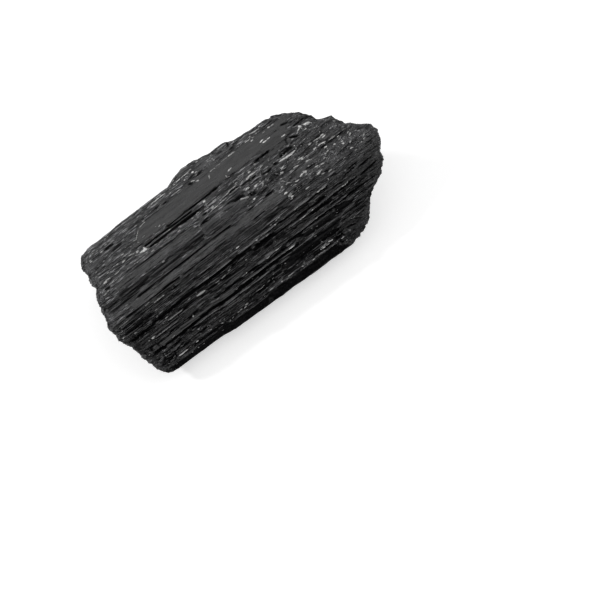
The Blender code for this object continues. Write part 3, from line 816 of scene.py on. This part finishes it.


# ---------------------------------------------------------------------------------------------------------
# Pale flakes, each a sliver that lies on the skin: partly grains of a pale mineral, partly painted glints,
# whose white stands in for the light that small facets catch.

# (x, girth, length, width, how pale), all in hundredths, and for some how many degrees they turn from
# the prism's line.
FLECKS = (
    (271, -194, 60, 30, 90, 5), (1620, 80, 40, 30, 80), (-958, 90, 360, 22, 60, 2),
    (-392, 104, 90, 25, 60, 5), (1455, 112, 180, 25, 75), (-220, 126, 180, 20, 75), (329, 150, 40, 20, 50),
    (-63, 169, 50, 35, 90), (1308, 176, 50, 30, 60, 20), (435, 187, 40, 30, 60), (-293, 187, 30, 30, 50),
    (-6, 195, 70, 20, 50), (-581, 243, 240, 15, 40), (1215, 257, 100, 22, 70), (-185, 284, 70, 25, 60, -15),
    (1742, 286, 60, 25, 70), (1828, 289, 70, 20, 60), (789, 296, 130, 18, 55), (593, 300, 140, 13, 30),
    (-2549, 304, 60, 35, 70), (417, 314, 100, 13, 30), (-2835, 326, 50, 30, 50), (272, 327, 120, 15, 45),
    (1281, 327, 50, 25, 70), (-109, 328, 60, 20, 50, -10), (-1554, 352, 160, 16, 35, 10),
    (120, 404, 80, 22, 45, 55), (1427, 459, 85, 27, 100, 12), (-1789, 474, 260, 16, 40, 40),
    (1572, 501, 80, 24, 100, 8), (1464, 512, 85, 28, 100), (533, 543, 90, 22, 80, 8),
    (-2268, 608, 60, 25, 50), (387, 621, 20, 40, 40), (1834, 642, 90, 25, 90), (425, 653, 50, 20, 50),
    (2242, 697, 40, 90, 90, 10), (2406, 720, 160, 50, 100, -25), (-2144, 724, 90, 20, 50, 10),
    (2160, 726, 80, 40, 100, 20), (-2348, 746, 80, 20, 50, 5), (-2003, 753, 50, 40, 60, 20),
    (-295, 762, 60, 40, 90, 10), (994, 784, 50, 40, 50, -45), (2306, 786, 70, 30, 100, 5),
    (-1898, 803, 115, 90, 100), (-308, 833, 25, 70, 20, -20), (806, 836, 50, 30, 80),
    (-2808, 840, 120, 25, 70), (-2605, 849, 90, 20, 60, 5), (-2910, 861, 80, 25, 60),
    (299, 896, 160, 20, 60, 3), (813, 897, 160, 40, 90, 2), (1029, 906, 80, 30, 40, 20),
    (555, 909, 50, 20, 50, 15), (144, 922, 120, 18, 40, 5), (678, 929, 80, 25, 60, 10),
    (-1084, 930, 70, 25, 60), (-2762, 951, 180, 20, 50, 2), (327, 962, 260, 13, 40, 1),
    (-883, 980, 150, 16, 50), (-1240, 982, 100, 16, 50), (-116, 990, 420, 14, 60, 4),
    (1588, 1035, 240, 45, 95, -2), (1449, 1036, 70, 20, 60), (1753, 1037, 120, 35, 90, 8),
    (703, 1041, 50, 30, 50), (-3008, 1044, 140, 20, 50, 8), (2402, 1072, 260, 30, 95, 2),
    (546, 1084, 100, 30, 70, 5), (2155, 1097, 60, 25, 60), (2497, 1123, 90, 30, 80, 8),
    (751, 1124, 100, 40, 70, 10), (1399, 1170, 90, 28, 90, 15), (1713, 1171, 90, 20, 50),
    (349, 1195, 120, 25, 60, -15), (-255, 1198, 100, 20, 30, 60), (862, 1204, 40, 35, 50),
    (443, 1221, 70, 25, 60, -40), (2324, 1225, 60, 25, 80), (-1725, 1229, 50, 20, 40),
    (2421, 1231, 90, 25, 80), (1822, 1233, 130, 25, 90, -5), (2196, 1237, 60, 25, 80),
    (2626, 1253, 180, 28, 55, 3), (1322, 1260, 70, 35, 90), (1856, 1267, 50, 30, 60),
    (1645, 1320, 100, 25, 70, -5), (534, 1332, 50, 30, 80), (1507, 1334, 50, 25, 50),
    (2405, 1335, 60, 30, 80), (1913, 1354, 100, 25, 70), (2599, 1376, 40, 30, 60),
    (1212, 1384, 50, 20, 40, -40), (2996, 1387, 50, 30, 50, 30), (1269, 1444, 140, 20, 40, -55),
    (2746, 1470, 60, 35, 90, -35), (1136, 1479, 50, 25, 50), (2232, 1492, 40, 30, 50),
    (1717, 1504, 90, 50, 100), (1621, 1508, 70, 25, 90, 15), (2895, 1519, 40, 25, 60),
    (1983, 1533, 120, 30, 90, -4), (1480, 1550, 80, 25, 60), (2121, 1557, 90, 25, 70, -10),
    (1373, 1590, 80, 20, 40), (1109, 1627, 60, 50, 90), (3167, 1637, 60, 50, 70), (2837, 1664, 60, 40, 60),
    (1935, 1680, 90, 40, 90, 10), (1164, 1709, 90, 40, 60, 20), (-2503, 1721, 100, 16, 60),
    (2860, 1733, 60, 30, 50), (2004, 1739, 80, 30, 90), (1188, 1760, 60, 40, 70), (2167, 1772, 90, 28, 70),
    (-2246, 1784, 260, 14, 50), (1150, 1791, 50, 25, 60), (1560, 1799, 100, 28, 90, 5),
    (2033, 1900, 25, 50, 80, -10), (-326, 1914, 90, 30, 90), (718, 1937, 60, 25, 60),
    (646, 1948, 50, 30, 60, 30), (1799, 1977, 260, 18, 70, -3), (1186, 1996, 260, 16, 70),
    (-3279, 2000, 35, 40, 70), (569, 2001, 40, 35, 70), (77, 2017, 45, 35, 70), (447, 2019, 240, 20, 80, 3),
    (-2348, 2040, 120, 22, 70), (-3023, 2073, 60, 40, 50), (2262, 2173, 180, 20, 70),
    (-1719, 2197, 70, 25, 60, 8), (-718, 2207, 70, 25, 80), (1383, 2225, 60, 20, 70),
    (1174, 2226, 240, 18, 90), (-2315, 2231, 70, 25, 70, 5), (-304, 2242, 35, 25, 60),
    (-897, 2251, 120, 25, 85, 3), (-1038, 2265, 100, 22, 80), (-1446, 2260, 220, 58, 100),
    (-2154, 2302, 340, 14, 40), (1389, 2427, 50, 22, 70), (-2737, 2437, 110, 50, 100),
    (-2493, 2444, 300, 14, 60), (-2840, 2456, 35, 30, 70), (350, 2462, 90, 20, 80), (105, 2478, 90, 20, 70),
    (-436, 2496, 35, 25, 80), (1196, 2546, 35, 30, 40), (-1824, 2595, 30, 60, 90), (647, 2610, 140, 28, 85),
    (-1760, 2617, 30, 40, 50), (480, 2672, 35, 30, 60), (-506, 2674, 50, 30, 80, 15),
    (-2380, 2708, 70, 22, 60, 5), (1189, 2727, 50, 20, 50), (106, 2728, 70, 20, 50),
    (-2980, 2769, 35, 35, 50), (2583, 2770, 40, 40, 50, 45), (355, 2819, 40, 25, 50),
    (2036, 2900, 160, 20, 40), (-1855, 2933, 45, 30, 80), (1248, 2944, 40, 30, 80),
    (-112, 2950, 70, 30, 50), (-345, 2975, 210, 16, 80), (386, 2981, 25, 25, 40),
    (1290, 3020, 110, 34, 100, 8), (1400, 3002, 120, 36, 100, 8), (1210, 3036, 70, 30, 90, 8),
    (1149, 3051, 40, 25, 70), (-743, 3081, 75, 30, 90, 3), (-1639, 3116, 45, 45, 90),
    (-2638, 3118, 80, 25, 70, 3), (-925, 3107, 130, 28, 100, 5), (356, 3108, 140, 20, 50),
    (-149, 3112, 90, 20, 50), (1881, 3114, 30, 70, 50), (109, 3115, 40, 30, 80), (646, 3122, 40, 35, 90),
    (1133, 3124, 160, 18, 50), (-1132, 3126, 50, 30, 60, 10), (-804, 3127, 75, 35, 100, 8),
    (906, 3131, 50, 30, 80), (1534, 3138, 50, 30, 80), (-1366, 3139, 50, 35, 90, -10),
    (-1999, 3141, 60, 40, 90, 10), (764, 3153, 40, 35, 90), (-2416, 3155, 320, 25, 90, -3),
    (-1209, 3170, 45, 30, 80, 20), (1681, 3183, 80, 30, 100), (-959, 3196, 340, 14, 50),
    (-2028, 3314, 35, 35, 60), (-2180, 3322, 35, 35, 80), (-1893, 3326, 35, 35, 60),
    (-1410, 3339, 40, 30, 50), (-2574, 3342, 35, 30, 50), (1745, 3343, 30, 90, 60, -15),
    (-2726, 3384, 30, 30, 40),
)
# Smaller ones strewn by chance: (left x, right x, first girth, last girth, how many, how pale).
STREWN_FLECKS = (
    (12, 33, 8, 17.5, 110, 0.48), (-29, 16, 0.2, 3.3, 70, 0.38), (-30, -12, 5, 9.5, 45, 0.36),
    (-26, 5, 8.3, 9.8, 40, 0.5), (4, 11, 7, 13, 40, 0.34), (-25, 14, 29.5, 31.8, 60, 0.55),
    (-26, 20, 17, 29, 60, 0.35), (-30, 20, 36, 79, 110, 0.35),
)
STREWN_LENGTHS, STREWN_WIDTHS = (0.18, 0.60), (0.09, 0.19)
STREWN_PALENESS, STREWN_TURN = (0.4, 1.3), 8.0
FLECK_SEED = 5
FLECK_THICKNESS, FLECK_SWELL = 0.13, 0.35  # how thick they are, and how much thicker the wider ones
FLECK_SINK = 0.02
FLECK_GROWTH = (1.35, 1.12)  # makes up, in length and width, for what their rugged shape takes off
FLECK_LEAST_LENGTH = 0.5  # what share of their length all keep, however small they are there
FLECK_GAIN = 1.25
FLECK_REACH = 3.0  # a flake longer than this many widths is in pieces, which stray by chance:
PIECE_PLACE, PIECE_STRAY, PIECE_LENGTH = (0.3, 0.7), (-0.15, 0.15), (0.8, 1.5)
PIECE_WIDTH, PIECE_PALENESS, PIECE_TURN = (0.7, 1.2), (0.65, 1.1), 2.5
# How large and pale they are round the crystal, as (girth, share).
FLECK_LINE = ((0, 1), (16.5, 1), (17.5, 0.75), (32, 0.72), (33, 0.55), (35.4, 0.55), (36, 1))

SLIVER_RADIUS, SLIVER_FINENESS = 0.5, 2  # a sliver of size 1, before it is stretched and made rugged
FLECK_SHAPE = {"Ruggedness": 1.1, "Lumps across": 2.2}


def fleck_tree():
    """A rugged sliver at each point, turned and sized as the point says."""
    tree, given = new_tree("flecks", FLECK_SHAPE)
    inputs = {"Radius": SLIVER_RADIUS, "Subdivisions": SLIVER_FINENESS}
    sliver = add(tree, "GeometryNodeMeshIcoSphere", inputs).outputs["Mesh"]
    turn, size = stored(tree, "turn", "FLOAT_VECTOR"), stored(tree, "size", "FLOAT_VECTOR")
    rotation = add(tree, "FunctionNodeEulerToRotation", {"Euler": turn}).outputs[0]
    points = add(tree, "GeometryNodeMeshToPoints", {"Mesh": given["Geometry"]}).outputs[0]
    inputs = {"Points": points, "Instance": sliver, "Rotation": rotation, "Scale": size}
    slivers = add(tree, "GeometryNodeInstanceOnPoints", inputs).outputs[0]
    slivers = add(tree, "GeometryNodeRealizeInstances", {"Geometry": slivers}).outputs[0]
    position = add(tree, "GeometryNodeInputPosition").outputs[0]
    breadth = add(tree, "ShaderNodeSeparateXYZ", {"Vector": size}).outputs["Y"]
    lumps = clouds(scaled(position, over(given["Lumps across"], breadth)), 1.0, 1.0)["Color"]
    inputs = {0: lumps, 1: (0.5, 0.5, 0.5)}
    lumps = add(tree, "ShaderNodeVectorMath", inputs, operation="SUBTRACT").outputs[0]
    slivers = moved(slivers, scaled(lumps, times(breadth, given["Ruggedness"])))
    inputs = {"Geometry": slivers, "Shade Smooth": False}
    return close_tree(add(tree, "GeometryNodeSetShadeSmooth", inputs).outputs[0], given["Material"])


def strewn_flecks():
    chance = np.random.RandomState(FLECK_SEED)
    flecks = []
    for left, right, first, last, count, paleness in STREWN_FLECKS:
        for _ in range(count):
            x, girth = chance.uniform(left, right), chance.uniform(first, last)
            length, width = chance.uniform(*STREWN_LENGTHS), chance.uniform(*STREWN_WIDTHS)
            pale = paleness * chance.uniform(*STREWN_PALENESS)
            flecks.append((x, girth, length, width, pale, chance.normal(0.0, STREWN_TURN)))
    return flecks


def broken_up(flecks):
    """The flakes, the long ones in pieces that lie in a row."""
    chance = np.random.RandomState(FLECK_SEED + 1)
    pieces = []
    for row in flecks:
        x, girth, length, width, paleness = (size / HUNDREDTHS for size in row[:5])
        turn = sum(row[5:])
        swing = math.radians(turn)
        count = max(1, round(length / (FLECK_REACH * width)))
        for place in range(count):
            along, across, part = 0.0, 0.0, length / count
            if count > 1:
                along = length * ((place + chance.uniform(*PIECE_PLACE)) / count - 0.5)
                across = chance.uniform(*PIECE_STRAY) * width
                part *= chance.uniform(*PIECE_LENGTH)
            breadth, pale = width * chance.uniform(*PIECE_WIDTH), paleness * chance.uniform(*PIECE_PALENESS)
            middle = x + along * math.cos(swing), girth - along * math.sin(swing) + across
            pieces.append((*middle, part, breadth, pale, turn + chance.normal(0.0, PIECE_TURN)))
    return pieces


def fleck_points(skin):
    """One point for each flake on the finished skin, with how it is turned, its size and its paleness."""
    rows = np.array(broken_up(FLECKS) + strewn_flecks())
    x, girth, length, width, paleness, turn = rows.T
    clear = np.minimum(x - break_line(LEFT_BREAK, girth), break_line(RIGHT_BREAK, girth) - x) > length / 2
    x, girth, length, width, paleness, turn = rows[clear].T
    share = table(FLECK_LINE, girth)
    length = length * FLECK_GROWTH[0] * (FLECK_LEAST_LENGTH + (1.0 - FLECK_LEAST_LENGTH) * share)
    width = width * FLECK_GROWTH[1] * share
    paleness = np.minimum(FLECK_GAIN * paleness * share, 1.0)
    places = np.stack(surface(x[:, None], girth[:, None])[0], axis=-1)[:, 0] * MM
    points, turns = [], []
    for place, swing in zip(places, turn):
        _, on_skin, normal, _ = skin.closest_point_on_mesh(Vector(place))
        points.append(on_skin - normal * (FLECK_SINK * MM))
        along = (Vector((1.0, 0.0, 0.0)) - normal * normal.x).normalized()
        side = normal.cross(along)
        cos, sin = math.cos(math.radians(swing)), math.sin(math.radians(swing))
        axes = along * cos + side * sin, side * cos - along * sin, normal
        turns.append(Matrix(axes).transposed().to_euler())
    mesh = bpy.data.meshes.new("fleck_places")
    mesh.from_pydata(points, [], [])
    thickness = np.minimum(width, FLECK_THICKNESS) + FLECK_SWELL * np.maximum(width - FLECK_THICKNESS, 0.0)
    sizes = np.stack([length, width, thickness], axis=-1) * MM
    for name, values in (("turn", np.array(turns)), ("size", sizes)):
        mesh.attributes.new(name, "FLOAT_VECTOR", "POINT").data.foreach_set("vector", values.ravel())
    mesh.attributes.new("pale", "FLOAT", "POINT").data.foreach_set("value", paleness)
    return mesh


# ---------------------------------------------------------------------------------------------------------
# Finishes.

BLACK = (0.0035, 0.0035, 0.004, 1.0)
# SPECK_GREY: the pale specks of the broken skin, partly pale grains and partly painted glints.
DUST_AND_HIGHLIGHT_GREY, SPECK_GREY = (0.070, 0.070, 0.072, 1.0), (0.34, 0.34, 0.35, 1.0)
# FLAKE_WHITE is partly a pale mineral's colour and partly a painted glint.
FLAKE_GREY, FLAKE_WHITE = (0.035, 0.035, 0.036, 1.0), (0.86, 0.86, 0.85, 1.0)
TABLE_DARKEST, TABLE_PALEST = (0.80, 0.80, 0.80, 1.0), (0.84, 0.84, 0.84, 1.0)
WHITE, FLAG_BLACK = (1.0, 1.0, 1.0, 1.0), (0.0, 0.0, 0.0, 1.0)
SCHORL_IOR, FLAKE_IOR = 1.64, 1.55
TABLE_ROUGHNESS, TABLE_GLOW = 0.9, 0.55

LONG_GRAIN = (0.08, 1.0, 1.0)
FIBRE_SIZE, CRUMB_SIZE = 0.24 * MM, 0.25 * MM
WIDE_SIZE, CLOUD_SIZE, SPECK_SIZE, DASH_SIZE = 0.52 * MM, 2.0 * MM, 0.23 * MM, 0.20 * MM
GRAIN_ROUGHNESS = 0.6
VEINS_IN_METRE, TABLE_CLOUDS_IN_METRE = 5000.0, 6.0
BEADED = 0.42  # how much of the fibres is broken up into beads
# How much paler the raised chips are, a painted highlight; how much dust there is in the film, on the fibres
# of the film, where it lies, and in dashes.
CREST_HIGHLIGHT, FILM_DUST, FILM_FIBRES, LYING_FIBRES, LYING_DUST, DASH_DUST = 0.5, 0.30, 0.25, 0.95, 0.25, 0.35
DUST_POWER = 2.0
# The specks are partly pale grains and partly painted glints; the pale line on narrow crests is a painted
# highlight.
STRIATED_SPECKS, LINE_FIBRES, LINE_PALENESS = 0.38, 0.45, 0.1
# The roughness of the gloss: where the skin is whole, and what rough, striated and cloudy places add.
WHOLE_GLOSS, ROUGH_GLOSS, STRIATED_GLOSS, CLOUD_GLOSS = 0.20, 0.24, -0.12, 0.12
FLAKE_GLOSS, VEIN_GLOSS = 0.4, 0.3
# How deep the finest fibres are where the skin is whole, and how much more where it is rough and striated.
FIBRE_DEPTH, FIBRE_ROUGH_DEPTH, FIBRE_STRIATED_DEPTH = 0.02 * MM, 0.26 * MM, 0.24 * MM


def new_material(name, **fixed):
    """A material, its tree, and its shader with the named inputs fixed."""
    material = bpy.data.materials.new(name)
    material.use_nodes = True
    tree = material.node_tree
    shader = tree.nodes["Principled BSDF"].inputs
    for socket, value in fixed.items():
        shader[socket.replace("_", " ")].default_value = value
    return material, tree, shader


def attribute(tree, name):
    return add(tree, "ShaderNodeAttribute", attribute_name=name).outputs["Fac"]


def mixed(share, first, second):
    inputs = {"Factor": share, "A": first, "B": second}
    return add(tree_of(share, first), "ShaderNodeMix", inputs, data_type="FLOAT").outputs[0]


def blended(share, start, end):
    """A colour between two others."""
    made = add(tree_of(share), "ShaderNodeMix", {"Factor": share}, data_type="RGBA")
    for name, value in (("A", start), ("B", end)):
        socket = [s for s in made.inputs if s.name == name and s.type == "RGBA"][0]
        if isinstance(value, bpy.types.NodeSocket):
            made.id_data.links.new(value, socket)
        else:
            socket.default_value = value
    return [s for s in made.outputs if s.type == "RGBA"][0]


def schorl():
    """Black tourmaline: glassy where whole, grey and matt where broken, with pale dust in the breaks, painted
    highlights on crests and row edges, pale specks that are partly painted glints, and black furrows of
    painted shade.
    """
    material, tree, shader = new_material("schorl", IOR=SCHORL_IOR)
    place = add(tree, "ShaderNodeTexCoord").outputs["Object"]
    rough, striated, crumbly, dust, line, film = (attribute(tree, name) for name in SKIN_VALUES[2:])
    crest, edge = attribute(tree, "crest"), attribute(tree, "edge")
    lengthwise = add(tree, "ShaderNodeMapping", {"Vector": place, "Scale": LONG_GRAIN}).outputs[0]

    def grain(vector, size, detail):
        return clouds(vector, 1.0 / size, detail, {"Roughness": GRAIN_ROUGHNESS})[0]

    fibres = mixed(larger(crumbly, BEADED), grain(lengthwise, FIBRE_SIZE, 1.0), grain(place, CRUMB_SIZE, 1.0))
    wide, patchy = grain(lengthwise, WIDE_SIZE, 2.0), grain(place, CLOUD_SIZE, 2.0)
    specks = mixed(crumbly, grain(lengthwise, SPECK_SIZE, 1.0), grain(place, SPECK_SIZE, 1.0))
    dashes = ramp(grain(lengthwise, DASH_SIZE, 0.0), "dashes")

    # Dust on fibres and grain, with the higher chips painted paler as a painted highlight.
    worn = plus(ramp(fibres, "dusty fibres"), ramp(wide, "dusty grain"))
    worn = times(times_plus(ramp(crest, "dusty crests"), CREST_HIGHLIGHT, worn), ramp(patchy, "dusty clouds"))
    faint = times_plus(ramp(fibres, "film fibres"), FILM_FIBRES, ramp(wide, "film grain"))
    dust_and_highlight = times_plus(worn, maths("POWER", rough, DUST_POWER), times(faint, times(film, FILM_DUST)))
    lying = times_plus(ramp(fibres, "lying fibres"), LYING_FIBRES, LYING_DUST)
    dust_and_highlight = plus(dust_and_highlight, times(dust, lying))
    # Pale lines along the rows' upper edges: partly wear, partly painted highlight.
    dust_and_highlight = plus(times(edge, ramp(fibres, "edge fibres")), dust_and_highlight)
    dust_and_highlight = times_plus(dashes, times(striated, DASH_DUST), dust_and_highlight)

    # Pale specks where the skin is broken or striated: partly pale grains, partly painted glints.
    speckled = larger(larger(ramp(rough, "speckled"), times(striated, STRIATED_SPECKS)), dust)
    # A painted highlight along narrow crests.
    pale_line = times(line, times_plus(ramp(fibres, "line fibres"), LINE_FIBRES, LINE_PALENESS))
    pale = larger(times(ramp(specks, "specks"), speckled), pale_line)
    # The grey of the dust and of the painted highlights.
    black = blended(dust_and_highlight, BLACK, DUST_AND_HIGHLIGHT_GREY)
    tree.links.new(blended(pale, black, SPECK_GREY), shader["Base Color"])

    gloss = times_plus(rough, ROUGH_GLOSS, times_plus(striated, STRIATED_GLOSS, WHOLE_GLOSS))
    tree.links.new(times_plus(patchy, CLOUD_GLOSS, gloss), shader["Roughness"])
    depth = times_plus(striated, FIBRE_STRIATED_DEPTH, times_plus(rough, FIBRE_ROUGH_DEPTH, FIBRE_DEPTH))
    bump = add(tree, "ShaderNodeBump", {"Height": times(fibres, depth), "Strength": 1.0, "Distance": 1.0})
    tree.links.new(bump.outputs[0], shader["Normal"])
    return material


def pale_mineral_and_glints():
    """The flakes: white to grey, dull, with darker veins; the white is partly the mineral's own and partly a
    painted glint.
    """
    material, tree, shader = new_material("pale_mineral_and_glints", IOR=FLAKE_IOR)
    veins = clouds(add(tree, "ShaderNodeTexCoord").outputs["Object"], VEINS_IN_METRE, 2.0)[0]
    tint = blended(times(attribute(tree, "pale"), ramp(veins, "veins")), FLAKE_GREY, FLAKE_WHITE)
    tree.links.new(tint, shader["Base Color"])
    tree.links.new(times_plus(veins, VEIN_GLOSS, FLAKE_GLOSS), shader["Roughness"])
    return material


def ground():
    """Plain white table, lit to near white."""
    material, tree, shader = new_material(
        "ground",
        Roughness=TABLE_ROUGHNESS,
        Specular_IOR_Level=0.0,
        Emission_Color=WHITE,
        Emission_Strength=TABLE_GLOW,
    )
    cloud = clouds(add(tree, "ShaderNodeTexCoord").outputs["Object"], TABLE_CLOUDS_IN_METRE, 2.0)[0]
    tree.links.new(blended(cloud, TABLE_DARKEST, TABLE_PALEST), shader["Base Color"])
    return material


# ---------------------------------------------------------------------------------------------------------
# Studio.

CAMERA_AZIMUTH, CAMERA_ELEVATION = math.radians(-39.6), math.radians(68.0)
CAMERA_DISTANCE = 1.0
FRAME_WIDTH = 0.120  # how much the camera spans at the crystal
SENSOR, NEAREST_SEEN = 36.0, 0.05
ORIGIN_SHIFT = Vector((0.85, -1.0, 0.0)) * MM
AIM_RIGHT, AIM_UP = 12.19 * MM, -10.04 * MM
MIDDLE_HEIGHT = 14.0 * MM

SOFTBOX_SIZE, SOFTBOX_PLACE = (1.5, 1.2), (0.10, 0.22, 0.62)
SOFTBOX_RADIANCE = 0.92
KEY_DIRECTION = Vector((-0.62, 0.50, 0.60))
KEY_STRENGTH, KEY_ANGLE = 1.1, math.radians(9.0)
WORLD_LIGHT, WORLD_SEEN = 0.05, 0.95  # how bright the room is, and how bright it looks past the table

TABLE = ((-3.0, -3.0, 0.0), (3.0, -3.0, 0.0), (3.0, 3.0, 0.0), (-3.0, 3.0, 0.0))
# Dark cards that the front face mirrors: one on the table before it, and one that stands behind that.
FLAG_LOW = ((-0.045, -0.0145, 0.0004), (0.03, -0.0166, 0.0004), (0.09, -0.09, 0.0004), (-0.10, -0.09, 0.0004))
FLAG_HIGH = ((-0.14, -0.06, 0.0), (0.12, -0.06, 0.0), (0.12, -0.09, 0.09), (-0.14, -0.09, 0.09))


def camera():
    data = bpy.data.cameras.new("camera")
    data.sensor_width = SENSOR
    data.lens = SENSOR * CAMERA_DISTANCE / FRAME_WIDTH
    data.clip_start = NEAREST_SEEN
    level = math.cos(CAMERA_ELEVATION)
    right = Vector((math.cos(CAMERA_AZIMUTH), math.sin(CAMERA_AZIMUTH), 0.0))
    back = (math.sin(CAMERA_AZIMUTH) * level, -math.cos(CAMERA_AZIMUTH) * level, math.sin(CAMERA_ELEVATION))
    back = Vector(back)
    up = back.cross(right)
    aim = ORIGIN_SHIFT + right * AIM_RIGHT + up * AIM_UP
    depth = MIDDLE_HEIGHT * back.z - ORIGIN_SHIFT.dot(back)
    turn = Matrix((right, up, back)).transposed().to_4x4()
    made = placed("camera", data)
    made.matrix_world = Matrix.Translation(aim + back * (CAMERA_DISTANCE + depth)) @ turn
    bpy.context.scene.camera = made


def light(name, kind, direction, **settings):
    data = bpy.data.lights.new(name, kind)
    for setting, value in settings.items():
        setattr(data, setting, value)
    made = placed(name, data)
    made.rotation_euler = direction.to_track_quat("Z", "Y").to_euler()
    made.visible_camera = False
    return made


def lights():
    width, depth = SOFTBOX_SIZE
    power = SOFTBOX_RADIANCE * math.pi * (width * depth)
    up = Vector((0.0, 0.0, 1.0))
    softbox = light("softbox", "AREA", up, shape="RECTANGLE", size=width, size_y=depth, energy=power)
    softbox.location = SOFTBOX_PLACE
    light("key", "SUN", KEY_DIRECTION, energy=KEY_STRENGTH, angle=KEY_ANGLE)


def world():
    """A dim room round the lights, and pale where the camera sees past the table."""
    made = bpy.data.worlds.new("room")
    bpy.context.scene.world = made
    made.use_nodes = True
    background = made.node_tree.nodes["Background"].inputs
    seen = add(made.node_tree, "ShaderNodeLightPath").outputs["Is Camera Ray"]
    strength = times_plus(seen, WORLD_SEEN - WORLD_LIGHT, WORLD_LIGHT)
    made.node_tree.links.new(strength, background["Strength"])
    background["Color"].default_value = WHITE


def sheet(name, corners, material):
    """A flat stage piece through the corners given."""
    mesh = bpy.data.meshes.new(name)
    mesh.from_pydata(corners, [], [tuple(range(len(corners)))])
    mesh.materials.append(material)
    made = placed(name, mesh)
    return made


def stage():
    sheet("table", TABLE, ground())
    black, _, _ = new_material("flag", Base_Color=FLAG_BLACK, Specular_IOR_Level=0.0)
    for name, corners in (("flag_low", FLAG_LOW), ("flag_high", FLAG_HIGH)):
        flag = sheet(name, corners, black)
        for seen in ("camera", "diffuse", "shadow", "transmission"):
            setattr(flag, "visible_" + seen, False)


# ---------------------------------------------------------------------------------------------------------


def above_floor(mesh):
    """Presses flat what reaches below the floor."""
    places = np.empty(len(mesh.vertices) * 3)
    mesh.vertices.foreach_get("co", places)
    places[2::3] = np.maximum(places[2::3], 0.0)
    mesh.vertices.foreach_set("co", places)
    mesh.update()


def crystal():
    skin = applied(crystal_mesh(), striation_tree(), "tourmaline_skin", schorl())
    # The pale flakes: partly mineral grains, partly painted glints.
    flecks = applied(fleck_points(skin), fleck_tree(), "pale_flakes", pale_mineral_and_glints())
    for piece in (skin, flecks):
        above_floor(piece.data)
        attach(piece, "root")
    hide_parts("tourmaline_crystal")


bpy.context.scene.view_settings.view_transform = "Standard"
camera()
lights()
world()
stage()
crystal()
